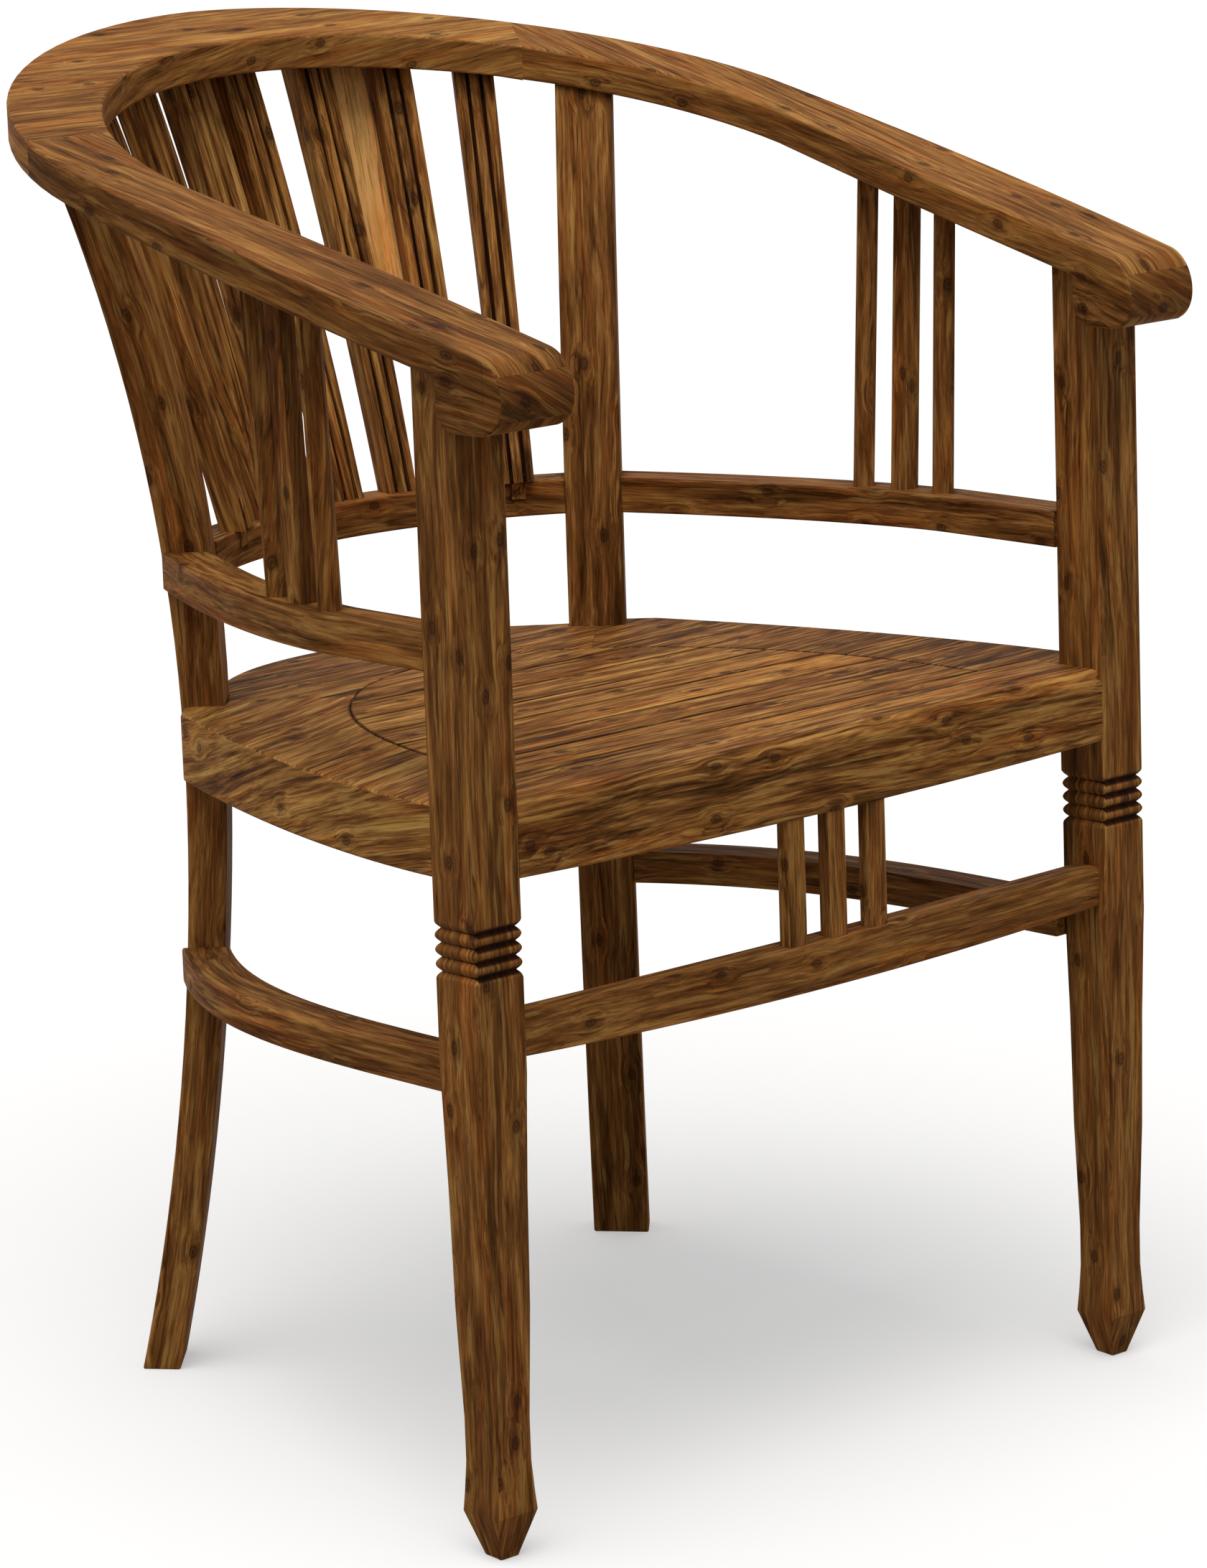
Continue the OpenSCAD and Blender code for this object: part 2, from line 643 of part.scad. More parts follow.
function plank_y0(i) = front_rail_back + plank_pitch * (i - 1) + (i == 1 ? 2 * fit : plank_gap / 2);
function plank_y1(i) = i == plank_n
    ? seam_yc + seam_depth
    : front_rail_back + plank_pitch * i - plank_gap / 2;
function plank_mid(i) = i == plank_n ? (plank_y0(i) + cleat_y1) / 2 : (plank_y0(i) + plank_y1(i)) / 2;

module plank(i) color(i % 2 == 0 ? teak_light : teak) placed() difference() {
    translate([0, 0, plank_low]) linear_extrude(plank_t) intersection() {
        opening_plan(2 * fit, 0);
        translate([-big / 2, plank_y0(i)]) square([big, plank_y1(i) - plank_y0(i)]);
    }
    screw_shanks(i, fit);
}

module seat_plank_1() plank(1);
module seat_plank_2() plank(2);
module seat_plank_3() plank(3);
module seat_plank_4() plank(4);
module seat_plank_5() plank(5);
module seat_plank_6() plank(6);
module seat_plank_7() plank(7);

// Two battens under the planks, each held by one screw per plank
cleat_x = 64;
cleat_w = 24;
cleat_t = 18;
cleat_y0 = front_rail_back + ledge + 1;
cleat_side = (cleat_x + cleat_w / 2) / (seam_half - ledge);
cleat_y1 = seam_yc + (seam_depth - ledge) * sqrt(1 - cleat_side * cleat_side) - 2;
screw_head_d = 2 * screw_d;
screw_head_h = 3;
screw_bite = 10;

module screw_shanks(i, grow) for (s = [-1, 1])
    translate([s * cleat_x, plank_mid(i), plank_low - 1])
        cylinder(h = 1 + screw_bite + (grow > 0 ? glue : 0), d = screw_d + 2 * grow);

module cleat(s) color(teak_dark) placed() difference() {
    box_at([s * cleat_x - cleat_w / 2, cleat_y0, plank_low - cleat_t],
        [s * cleat_x + cleat_w / 2, cleat_y1, plank_low]);
    for (i = [1 : plank_n]) translate([s * cleat_x, plank_mid(i), plank_low - cleat_t - 1]) {
        cylinder(h = cleat_t + 2, d = screw_d + 2 * fit);
        cylinder(h = 1 + screw_head_h, d = screw_head_d + 2 * fit);
    }
}

module seat_cleat_right() cleat(-1);
module seat_cleat_left() cleat(1);

module cleat_screws() color(steel) placed() for (s = [-1, 1], i = [1 : plank_n])
    translate([s * cleat_x, plank_mid(i), plank_low - cleat_t]) {
        cylinder(h = cleat_t + screw_bite, d = screw_d);
        cylinder(h = screw_head_h, d = screw_head_d);
    }

// Stretchers

str_tenon_t = 10;
front_str_low = front_str_top - front_str_h;
side_str_low = side_str_top - side_str_h;
front_face_y = 0.5 - half_leg;

module front_stretcher_tenon(grow) box_at(
    [leg_in - 1, front_face_y + front_bow + 4 - grow, front_str_low + 4 - grow],
    [leg_in + tenon_d + (grow > 0 ? glue : 0), front_face_y + front_bow + 4 + str_tenon_t + grow,
     front_str_top - 5 + grow]);

module stretcher_front() color(teak) placed() difference() {
    union() {
        intersection() {
            linear_extrude(big) polygon(concat(
                [for (i = [-16 : 16]) [leg_in * i / 16, front_face_y + front_bow * i * i / 256]],
                [for (i = [16 : -1 : -16]) [leg_in * i / 16, front_face_y + str_t + front_bow * i * i / 256]]));
            along(-60, 60) polygon(concat(
                [[leg_in, front_str_top], [-leg_in, front_str_top]],
                [for (i = [-12 : 12]) [leg_in * i / 12, front_str_low - front_str_belly * (1 - i * i / 144)]]));
        }
        for (s = [-1, 1]) on_side(s) front_stretcher_tenon(0);
    }
    front_spindle_cores(fit);
}

side_str_row = [for (i = [0 : 30]) let (y = half_leg - 4 + (post_y + 17 - half_leg) * i / 30) [str_cx(y), y]];
module side_stretcher_tenons(grow) {
    box_at([str_x - 5 - grow, half_leg - tenon_d - (grow > 0 ? glue : 0), side_str_low + 5 - grow],
        [str_x + 5 + grow, half_leg + 1, side_str_top - 5 + grow]);
    at_post() box_at([str_post_r - 4.5 - grow, -half_post - 1, side_str_low + 5 - grow],
        [str_post_r + 4.5 + grow, tenon_d - half_post + (grow > 0 ? glue : 0), side_str_top - 5 + grow]);
}

module side_stretcher_solid() union() {
    translate([0, 0, side_str_low]) linear_extrude(side_str_h) intersection() {
        polygon(ribbon(side_str_row, side_str_w));
        translate([0, half_leg]) square([big, big]);
        at_post() translate([-big, -big]) square([1.2 * big, big - half_post]);
    }
    side_stretcher_tenons(0);
}

module stretcher_right() color(teak_dark) placed() on_side(-1) side_stretcher_solid();
module stretcher_left() color(teak_dark) placed() on_side(1) side_stretcher_solid();

// Front spindles between the front stretcher and the front rail

front_sp_y = -half_leg + 1.5 + front_sp_t / 2;
function belly_z(x) = front_low - belly * (1 - x * x / leg_in / leg_in);
module front_spindle_core(x, grow) box_at(
    [x - front_sp_w / 2 + 3 - grow, front_sp_y - front_sp_t / 2 + 2 - grow,
     front_str_top - stub_d + 2 - (grow > 0 ? glue : 0)],
    [x + front_sp_w / 2 - 3 + grow, front_sp_y + front_sp_t / 2 - 2 + grow,
     belly_z(x) + stub_d - 2 + (grow > 0 ? glue : 0)]);
module front_spindle_cores(grow) for (k = [-1 : 1])
    front_spindle_core(front_sp_mid + k * front_sp_pitch, grow);

// The head follows the curved underside of the front rail in two straight cuts
module front_spindle(k) let (x = front_sp_mid + k * front_sp_pitch)
    color(teak_dark) placed() union() {
        difference() {
            translate([x - front_sp_w / 2, front_sp_y - front_sp_t / 2, front_str_top])
                cube([front_sp_w, front_sp_t, front_low - front_str_top]);
            along(-60, 60) polygon(concat(
                [for (i = [-12 : 12]) [leg_in * i / 12, front_low - belly * (1 - i * i / 144)]],
                [[leg_in, front_low + 20], [-leg_in, front_low + 20]]));
        }
        front_spindle_core(x, 0);
    }

module front_spindle_1() front_spindle(-1);
module front_spindle_2() front_spindle(0);
module front_spindle_3() front_spindle(1);

// Lower hoop rail

hoop_low = hoop_top - hoop_h;
hoop_row = [for (i = [0 : 30]) let (y = half_leg - 6 + (post_y + 21 - half_leg) * i / 30) [hoop_cx(y), y]];

module hoop_leg_tenon(grow) box_at(
    [hoop_x - 6 - grow, half_leg - tenon_d - (grow > 0 ? glue : 0), hoop_low + 5 - grow],
    [hoop_x + 6 + grow, half_leg + 1, hoop_top - 5 + grow]);
module hoop_post_tenon(grow) at_post() box_at(
    [hoop_post_r - 6 - grow, -half_post - 1, hoop_low + 5 - grow],
    [hoop_post_r + 6 + grow, tenon_d - half_post + (grow > 0 ? glue : 0), hoop_top - 5 + grow]);
module hoop_back_tenon(grow) at_post() box_at(
    [hoop_post_r - 6 - grow, half_post - tenon_d - (grow > 0 ? glue : 0), hoop_low + 5 - grow],
    [hoop_post_r + 6 + grow, half_post + 1, hoop_top - 5 + grow]);

module hoop_side_solid() difference() {
    union() {
        translate([0, 0, hoop_low]) linear_extrude(hoop_h) intersection() {
            polygon(ribbon(hoop_row, hoop_w));
            translate([0, half_leg]) square([big, big]);
            at_post() translate([-big, -big]) square([1.2 * big, big - half_post]);
        }
        hoop_leg_tenon(0);
        hoop_post_tenon(0);
    }
    side_spindle_cores(fit);
}

module hoop_right() color(teak) placed() on_side(-1) hoop_side_solid();
module hoop_left() color(teak) placed() on_side(1) hoop_side_solid();

hoop_back_row = [for (i = [-18 : 18]) [hoop_back_r * sin(2.5 * i), hoop_back_c + hoop_back_r * cos(2.5 * i)]];
module hoop_back() color(teak) placed() difference() {
    union() {
        translate([0, 0, hoop_low]) linear_extrude(hoop_h) intersection() {
            polygon(ribbon(hoop_back_row, hoop_back_w));
            at_post() translate([-big, half_post]) square([1.2 * big, big]);
            mirror([1, 0]) at_post() translate([-big, half_post]) square([1.2 * big, big]);
        }
        for (s = [-1, 1]) on_side(s) hoop_back_tenon(0);
    }
    slat_tenons(fit, -1);
}

// Side spindles: the outer two stand cornerwise, the middle one square

spindle_y = 157;
spindle_edge = 1.2;
spindle_core_w = 8;
function side_sp_y(k) = spindle_y + k * spindle_pitch;
function side_sp_turn(k) = k == 0 ? 0 : 45;
function side_sp_len(k) = low_z(side_sp_y(k)) - hoop_top;
function side_sp_lean(k) = atan((spindle_lean + 1.8 * k) / side_sp_len(k));

// Leaning local frame of a side spindle, z along it from the top of the hoop rail
module at_spindle(k) translate([hoop_cx(side_sp_y(k)), side_sp_y(k), hoop_top])
    rotate([0, side_sp_lean(k), 0]) rotate([0, 0, side_sp_turn(k)]) children();

module side_spindle_core(k, grow) at_spindle(k)
    translate([0, 0, 2 - stub_d - (grow > 0 ? glue : 0)])
        linear_extrude(side_sp_len(k) + 2 * stub_d - 5 + (grow > 0 ? 2 * glue : 0))
            square(spindle_core_w + 2 * grow, center = true);
module side_spindle_cores(grow) for (k = [-1 : 1]) side_spindle_core(k, grow);

module side_spindle(k) union() {
    intersection() {
        at_spindle(k) translate([0, 0, -10]) linear_extrude(big) soft_square(spindle_w, spindle_edge);
        under_rail();
        above_hoop();
    }
    side_spindle_core(k, 0);
}

module spindle_right_1() color(teak_dark) placed() on_side(-1) side_spindle(-1);
module spindle_right_2() color(teak_dark) placed() on_side(-1) side_spindle(0);
module spindle_right_3() color(teak_dark) placed() on_side(-1) side_spindle(1);
module spindle_left_1() color(teak_dark) placed() on_side(1) side_spindle(-1);
module spindle_left_2() color(teak_dark) placed() on_side(1) side_spindle(0);
module spindle_left_3() color(teak_dark) placed() on_side(1) side_spindle(1);

// Back slats

// Local frame of slat k, z upright: x outwards from the fan centre, y across the slat
module at_fan(k) translate([0, fan_y, 0]) rotate([0, 0, 90 - fan_turn(k)]) children();

// The same frame leaning sideways with the slat
module at_slat(k) at_fan(k) translate([0, -foot_side(k), hoop_top])
    rotate([side_lean(k), 0, 0]) translate([0, 0, -hoop_top]) children();

slat_rows = [for (i = [-1 : 17]) hoop_top + (slat_rise + 30) * i / 16];
slat_last = len(slat_rows) - 1;
slat_end_z = slat_top_z + 50;
plain_end_z = slat_top_z + 14.3;

// Band between two offsets from the slat's centre line, as [r, z]
module slat_band(d0, d1, k0, k1) polygon(concat(
    [for (z = slat_rows) [slat_r(z) + k0 * slat_t(z) / 2 + d0, z]],
    [for (i = [slat_last : -1 : 0]) let (z = slat_rows[i]) [slat_r(z) + k1 * slat_t(z) / 2 + d1, z]]));

// Taper of a slat across its width: w0 at height z0, w1 at height z1
module slat_taper(w0, z0, w1, z1) rotate([90, 0, 90]) linear_extrude(big)
    polygon([[-w0 / 2, z0], [w0 / 2, z0], [w1 / 2, z1], [-w1 / 2, z1]]);

// Stub tenon at the head (e = 1) or at the foot (e = -1) of a slat
module slat_tenon(k, e, grow, t) let (z0 = e > 0 ? slat_top_at(k) : hoop_top,
    rr = slat_r(z0) + t, side = -(e > 0 ? head_side(k) : foot_side(k)))
    at_fan(k) box_at(
        [rr - (t > 0 ? 2 : 5) - grow, side - 5 - grow,
         e > 0 ? z0 - 8 : z0 - stub_d + 1 - (grow > 0 ? glue : 0)],
        [rr + (t > 0 ? 2 : 5) + grow, side + 5 + grow,
         e > 0 ? z0 + stub_d - 4 + (grow > 0 ? glue : 0) : z0 + 6]);
function slat_top_at(k) = low_z(fan_y + head_r * cos(fan_turn(k)) - head_side(k) * sin(fan_turn(k)));
function plain_shift(z) = slat_t(z) / 2 - plain_t / 2;

module slat_tenons(grow, e) {
    for (k = [-slat_side : slat_side]) slat_tenon(k, e, grow, 0);
    if (e > 0) for (k = plain_k) slat_tenon(k, e, grow, plain_shift(slat_top_z));
}

module above_hoop() translate([-big / 2, 0, hoop_top]) cube([big, big, big]);

module slat(k) color(teak_dark) placed() union() {
    intersection() {
        at_slat(k) difference() {
            intersection() {
                rotate([90, 0, 0]) linear_extrude(2 * slat_head_w, center = true) slat_band(0, 0, -1, 1);
                slat_taper(slat_w(hoop_top - 10), hoop_top - 10, slat_w(slat_end_z), slat_end_z);
            }
            for (j = [-1, 1]) translate([0, j * 4.4, 0]) rotate([90, 0, 0])
                linear_extrude(2.4, center = true) slat_band(-5, slat_groove, -1, -1);
        }
        under_rail();
        above_hoop();
    }
    slat_tenon(k, -1, 0, 0);
    slat_tenon(k, 1, 0, 0);
}

module back_slat_1() slat(-3);
module back_slat_2() slat(-2);
module back_slat_3() slat(-1);
module back_slat_4() slat(0);
module back_slat_5() slat(1);
module back_slat_6() slat(2);
module back_slat_7() slat(3);

// Short plain slat that hangs from the rail and closes the upper part of gap k
module plain_slat(k) color(teak_light) placed() union() {
    intersection() {
        at_slat(k) intersection() {
            rotate([90, 0, 0]) linear_extrude(2 * slat_head_w, center = true) slat_band(-plain_t, 0, 1, 1);
            slat_taper(plain_w(k, plain_low), plain_low, plain_w(k, plain_end_z), plain_end_z);
        }
        under_rail();
    }
    slat_tenon(k, 1, 0, plain_shift(slat_top_z));
}

module back_slat_plain_1() plain_slat(plain_k[0]);
module back_slat_plain_2() plain_slat(plain_k[1]);

crest_rail();
arm_right();
arm_left();
crest_dowels();
front_leg_right();
front_leg_left();
rear_post_right();
rear_post_left();
seat_front_rail();
seat_board_right();
seat_board_left();
seat_board_back();
seat_frame_dowels();
seat_plank_1();
seat_plank_2();
seat_plank_3();
seat_plank_4();
seat_plank_5();
seat_plank_6();
seat_plank_7();
seat_cleat_right();
seat_cleat_left();
cleat_screws();
stretcher_front();
stretcher_right();
stretcher_left();
front_spindle_1();
front_spindle_2();
front_spindle_3();
hoop_right();
hoop_left();
hoop_back();
spindle_right_1();
spindle_right_2();
spindle_right_3();
spindle_left_1();
spindle_left_2();
spindle_left_3();
back_slat_1();
back_slat_2();
back_slat_3();
back_slat_4();
back_slat_5();
back_slat_6();
back_slat_7();
back_slat_plain_1();
back_slat_plain_2();
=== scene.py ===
"""Teak barrel-back armchair: eased arrises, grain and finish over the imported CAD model."""

import math
import random

import bmesh
import bpy
from mathutils import Matrix, Vector
from mathutils.bvhtree import BVHTree


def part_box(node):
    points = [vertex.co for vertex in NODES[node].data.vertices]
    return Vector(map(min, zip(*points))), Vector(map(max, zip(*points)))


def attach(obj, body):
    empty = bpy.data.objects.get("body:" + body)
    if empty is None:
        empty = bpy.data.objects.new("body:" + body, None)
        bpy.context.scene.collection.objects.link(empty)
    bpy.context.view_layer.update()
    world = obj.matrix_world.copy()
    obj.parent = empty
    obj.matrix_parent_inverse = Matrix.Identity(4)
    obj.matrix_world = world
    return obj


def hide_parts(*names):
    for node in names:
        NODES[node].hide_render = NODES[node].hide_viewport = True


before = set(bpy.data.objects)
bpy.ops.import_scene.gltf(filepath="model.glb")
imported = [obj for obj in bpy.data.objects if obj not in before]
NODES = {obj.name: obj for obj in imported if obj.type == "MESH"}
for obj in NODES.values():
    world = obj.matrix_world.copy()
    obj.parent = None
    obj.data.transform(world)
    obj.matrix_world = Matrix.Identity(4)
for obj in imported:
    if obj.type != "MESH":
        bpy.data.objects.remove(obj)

bl_info = {
    "name": "Teak Armchair",
    "version": (1, 0, 0),
    "blender": (4, 5, 0),
    "location": "3D View > Sidebar > Armchair",
    "description": "Dresses the joined teak armchair with eased arrises, grain and an oiled finish",
    "category": "Object",
}

MM = 0.001

# Sizes of the chair with upright legs, in millimetres and degrees, that the grain follows
RAKE = 3.3
RAIL_PITCH = 13.6
LEG_X = 262
LEG_HALF_WIDTH = 18
GROOVE_DEPTH = 2.6
GROOVE_BAND = (346, 383)
NOSE_REAR = 40
POST_X = 166
POST_Y = 359
POST_WAIST = 430
POST_RADIUS_LOW = 1800
POST_RADIUS_HIGH = 1050
OPENING_Y = 100
FAN_Y = 240
SLAT_FOOT_Z = 546
SLAT_RISE = 280
SLAT_FOOT_RADIUS = 186
SLAT_HEAD_RADIUS = 282
SLAT_FOOT_STEP = 12.7
SLAT_HEAD_STEP = 11.8
SLAT_HEAD_NUDGE = 4.6
SLAT_FOOT_SHIFT = 9
SLAT_HEAD_SHIFT = 6

# A face counts as flat, or as facing some way, where its normal's share that way is over this
FACING = 0.6
# Radii of the slight arrises along a seam, of the dowels and of the screws
SEAM_ARRIS = 1.0 * MM
DOWEL_ARRIS = 0.5 * MM
SCREW_ARRIS = 0.3 * MM
# An edge this near to another piece is at a joint
JOINT_GAP = 0.3 * MM
# Share of a face's normal along the grain: end grain starts at the first and is full at the second
END_CUT = (0.75, 0.95)
# Levels of painted shade in channels, seams and shaded sides: it starts to show at the first and is
# full at the second
PAINTED_SHADE_LEVELS = (0.7, 0.95)
# Cell of one knot along and across the grain, in millimetres
KNOT_CELL = (70, 36)
# How far one unit of tone moves a piece up the ramp of wood colours
TONE_STEP = 0.035


def hex_to_linear(code):
    """An sRGB hex colour as linear RGB."""
    parts = [int(code[i:i + 2], 16) / 255 for i in (0, 2, 4)]
    return tuple(c / 12.92 if c <= 0.04045 else ((c + 0.055) / 1.055) ** 2.4 for c in parts)


def foot_shift():
    """Distance in metres from the leg axis to the middle of the footprint, from the front feet."""
    leg = NODES["front_leg_left"]
    points = [leg.matrix_world @ v.co for v in leg.data.vertices]
    tips = [p.y for p in points if p.z < 0.5 * MM]
    return -sum(tips) / len(tips)


UPRIGHT = (Matrix.Rotation(math.radians(RAKE), 4, "X")
           @ Matrix.Translation((0, foot_shift(), 0)))


# Settings that a user would change


class ArmchairEdges(bpy.types.PropertyGroup):
    """How far the edges of each kind of piece are eased"""
    rail: bpy.props.FloatProperty(
        name="Rail arris", description="Radius of the eased edges of the horseshoe rail",
        default=2.0 * MM, unit="LENGTH")
    leg: bpy.props.FloatProperty(
        name="Leg arris", description="Radius of the eased edges of the legs and posts",
        default=1.3 * MM, unit="LENGTH")
    seat: bpy.props.FloatProperty(
        name="Seat arris", description="Radius of the eased edges of the seat boards",
        default=2.2 * MM, unit="LENGTH")
    plank: bpy.props.FloatProperty(
        name="Plank arris", description="Radius of the eased edges of the seat planks",
        default=0.9 * MM, unit="LENGTH")
    bar: bpy.props.FloatProperty(
        name="Bar arris", description="Radius of the eased edges of stretchers and hoop",
        default=1.5 * MM, unit="LENGTH")
    slat: bpy.props.FloatProperty(
        name="Slat arris", description="Radius of the eased edges of slats and spindles",
        default=0.9 * MM, unit="LENGTH")


class ArmchairFinish(bpy.types.PropertyGroup):
    """Main colours of the oiled teak"""
    dark: bpy.props.FloatVectorProperty(
        name="Dark streak", description="Colour of the darkest growth streaks",
        default=hex_to_linear("3f2509"), subtype="COLOR", min=0, max=1)
    heart: bpy.props.FloatVectorProperty(
        name="Heartwood", description="Main colour of the oiled heartwood",
        default=hex_to_linear("86562a"), subtype="COLOR", min=0, max=1)
    light: bpy.props.FloatVectorProperty(
        name="Light streak", description="Colour of the palest streaks",
        default=hex_to_linear("c2954f"), subtype="COLOR", min=0, max=1)
    knot: bpy.props.FloatVectorProperty(
        name="Knot", description="Colour of the knot cores",
        default=hex_to_linear("2c1508"), subtype="COLOR", min=0, max=1)


class ArmchairStage(bpy.types.PropertyGroup):
    """Light and floor"""
    sky: bpy.props.FloatProperty(
        name="Soft fill", description="Strength of the even studio fill", default=0.45)
    key: bpy.props.FloatProperty(
        name="Key light", description="Strength of the broad overhead lamp", default=0.66)
    floor: bpy.props.FloatVectorProperty(
        name="Floor", description="Colour of the floor as the camera sees it",
        default=(1, 1, 1), subtype="COLOR", min=0, max=1)


# Mesh work


def solid_copy(node):
    """The CAD solid of a node as a clean bmesh in the row frame, flat faces merged."""
    source = NODES[node]
    bm = bmesh.new()
    bm.from_mesh(source.data)
    bm.transform(source.matrix_world)
    bmesh.ops.remove_doubles(bm, verts=bm.verts, dist=0.003 * MM)
    bmesh.ops.dissolve_limit(bm, angle_limit=math.radians(0.25), verts=bm.verts, edges=bm.edges)
    bmesh.ops.recalc_face_normals(bm, faces=bm.faces)
    return bm


def touching(node):
    """Search trees of the solids that a node meets."""
    low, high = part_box(node)
    trees = []
    for name, obj in NODES.items():
        if name == node:
            continue
        a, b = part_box(name)
        if all(a[i] < high[i] + MM and b[i] > low[i] - MM for i in range(3)):
            world = obj.matrix_world
            trees.append(BVHTree.FromPolygons([world @ v.co for v in obj.data.vertices],
                                              [p.vertices[:] for p in obj.data.polygons]))
    return trees


def at_joint(edge, trees):
    """True where most of an edge lies against another piece."""
    a, b = edge.verts[0].co, edge.verts[1].co
    hits = 0
    for t in (0.12, 0.5, 0.88):
        p = a.lerp(b, t)
        hits += any(tree.find_nearest(p, JOINT_GAP)[0] is not None for tree in trees)
    return hits >= 2


def ease_arrises(bm, trees, radius, least=24, unbroken=False, seamed=None):
    """Rounds and marks every convex edge over least degrees that isn't at a joint.

    Upright edges run on past joints if unbroken. An edge of the top face that is at a joint gets
    a slighter arris where seamed says so, which makes the seam show.
    """
    edges, seams = [], []
    for e in bm.edges:
        length = e.calc_length()
        # The shortest edges are facets, too small for an arris
        if len(e.link_faces) != 2 or not e.is_convex or length <= 0.4 * MM:
            continue
        if math.degrees(e.calc_face_angle(0)) <= least:
            continue
        rise = abs(e.verts[0].co.z - e.verts[1].co.z) / length
        if (unbroken and rise > 0.8) or not at_joint(e, trees):
            edges.append(e)
        elif seamed and any(f.normal.z > 0.9 for f in e.link_faces):
            side = min((f.normal for f in e.link_faces), key=lambda n: abs(n.z))
            if seamed(e.verts[0].co, side):
                seams.append(e)
    mark = bm.faces.layers.float.new("arris")
    if radius > SEAM_ARRIS:
        passes = [(seams, SEAM_ARRIS), (edges, radius)]
    else:
        passes = [(seams + edges, radius)]
    for group, size in passes:
        group = [e for e in group if e.is_valid]
        if not group:
            continue
        made = bmesh.ops.bevel(bm, geom=group, offset=size, offset_type="OFFSET", segments=3,
                               profile=0.5, affect="EDGES", clamp_overlap=False,
                               miter_outer="ARC", loop_slide=True)
        for f in made["faces"]:
            if f.is_valid:
                f[mark] = 1.0


def slice_rows(bm, points, normals):
    """Cuts the mesh across by a row of planes, so that curved grain can follow the piece."""
    for p, n in zip(points, normals):
        geom = bm.verts[:] + bm.edges[:] + bm.faces[:]
        bmesh.ops.bisect_plane(bm, geom=geom, dist=0.002 * MM, plane_co=p, plane_no=n)


def rows_across(axis, start, end, step):
    """Cutting planes square to an axis of the upright chair, from start to end in millimetres."""
    back = UPRIGHT.inverted()
    count = int((end - start) / step) + 1
    points = [back @ (axis * ((start + step * i) * MM)) for i in range(count)]
    return points, [back.to_3x3() @ axis] * count


def rows_round(centre, start, end, step):
    """Cutting planes through an upright axis, in degrees from straight back."""
    back = UPRIGHT.inverted()
    turns = [math.radians(start + step * i) for i in range(int((end - start) / step) + 1)]
    points = [back @ Vector((0, centre * MM, 0))] * len(turns)
    return points, [back.to_3x3() @ Vector((math.cos(t), -math.sin(t), 0)) for t in turns]


def mark_channels(bm, width):
    """Marks the faces inside channels up to width across, for painted shade: floors fully, walls
    less so.
    """
    mark = bm.faces.layers.float.new("channel")
    if not width:
        return mark
    tree = BVHTree.FromBMesh(bm)
    for f in bm.faces:
        # Seen from a little way off the face
        c = f.calc_center_median() + 0.35 * MM * f.normal
        if tree.ray_cast(c, f.normal, width)[0] is not None:
            f[mark] = 0.9
            continue
        side = f.normal.orthogonal().normalized()
        for turn in (0, 45, 90, 135):
            ray = Matrix.Rotation(math.radians(turn), 3, f.normal) @ side
            if all(tree.ray_cast(c, way, width)[0] is not None for way in (ray, -ray)):
                f[mark] = 1.0
    return mark


def end_cut(grain, f):
    """From 0 on a face along the grain to 1 on a face sawn across it."""
    c = f.calc_center_median()
    step = 0.1 * MM
    through = (grain(c + step * f.normal, f.normal) - grain(c, f.normal)) / step / 1000
    low, high = END_CUT
    return min(1.0, max(0.0, (abs(through.x) - low) / (high - low)))


def finish_piece(node, bm, grain, material, tone, channel, seam, depth):
    """Makes the dressed piece of a node from its bmesh and puts it on the frame.

    The wood is drawn in its "grain" coordinates; another attribute holds painted shade for
    channels, seams and shaded sides, "tone" is lighter above 0 and darker below, and "end_cut" and
    "arris" mark such faces.
    """
    mesh = bpy.data.meshes.new(node + "_wood")
    rng = random.Random(node)
    start = Vector((rng.uniform(0, 900), rng.uniform(0, 400), rng.uniform(0, 400)))
    ends = bm.faces.layers.float.new("end_cut")
    arris = bm.faces.layers.float.get("arris")
    groove = mark_channels(bm, channel)
    places, depths, tones = [], [], []
    for f in bm.faces:
        f[ends] = end_cut(grain, f)
        if seam and f[arris]:
            f[groove] = seam
        for loop in f.loops:
            p = loop.vert.co
            places.extend(grain(p, f.normal) + start)
            depths.append(depth(p, f.normal) if depth else f[groove])
            tones.append(tone(p) if callable(tone) else tone)
    bm.to_mesh(mesh)
    bm.free()
    mesh.attributes.new("grain", "FLOAT_VECTOR", "CORNER").data.foreach_set("vector", places)
    mesh.attributes.new("groove", "FLOAT", "CORNER").data.foreach_set("value", depths)
    mesh.attributes.new("tone", "FLOAT", "CORNER").data.foreach_set("value", tones)
    mesh.materials.append(material)
    mesh.polygons.foreach_set("use_smooth", [True] * len(mesh.polygons))
    mesh.set_sharp_from_angle(angle=math.radians(42))
    piece = bpy.data.objects.new(node + "_wood", mesh)
    bpy.context.scene.collection.objects.link(piece)
    weigh = piece.modifiers.new("flat faces stay flat", "WEIGHTED_NORMAL")
    weigh.weight = 90
    weigh.keep_sharp = True
    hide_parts(node)
    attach(piece, "root")


def dress(node, radius, grain, material, tone=0.0, rows=None, channel=0.0, seam=0.0, depth=None,
          least=24, unbroken=False, seamed=None):
    """Copies a CAD solid, eases its arrises, slices it for the grain and finishes it.

    Painted shade goes in channels up to channel mm wide, at strength seam on every arris, or as
    depth says.
    """
    bm = solid_copy(node)
    ease_arrises(bm, touching(node), radius, least, unbroken, seamed)
    if rows:
        slice_rows(bm, *rows)
    finish_piece(node, bm, grain, material, tone, channel * MM, seam, depth)


# Directions of the grain at a point of a face with normal n, as (along, across, through) in
# millimetres. A through that is a plain number gives the face a figure of its own.


def upright(p):
    """A point in millimetres with the legs upright and the leg axis at y = 0."""
    return UPRIGHT @ p * 1000


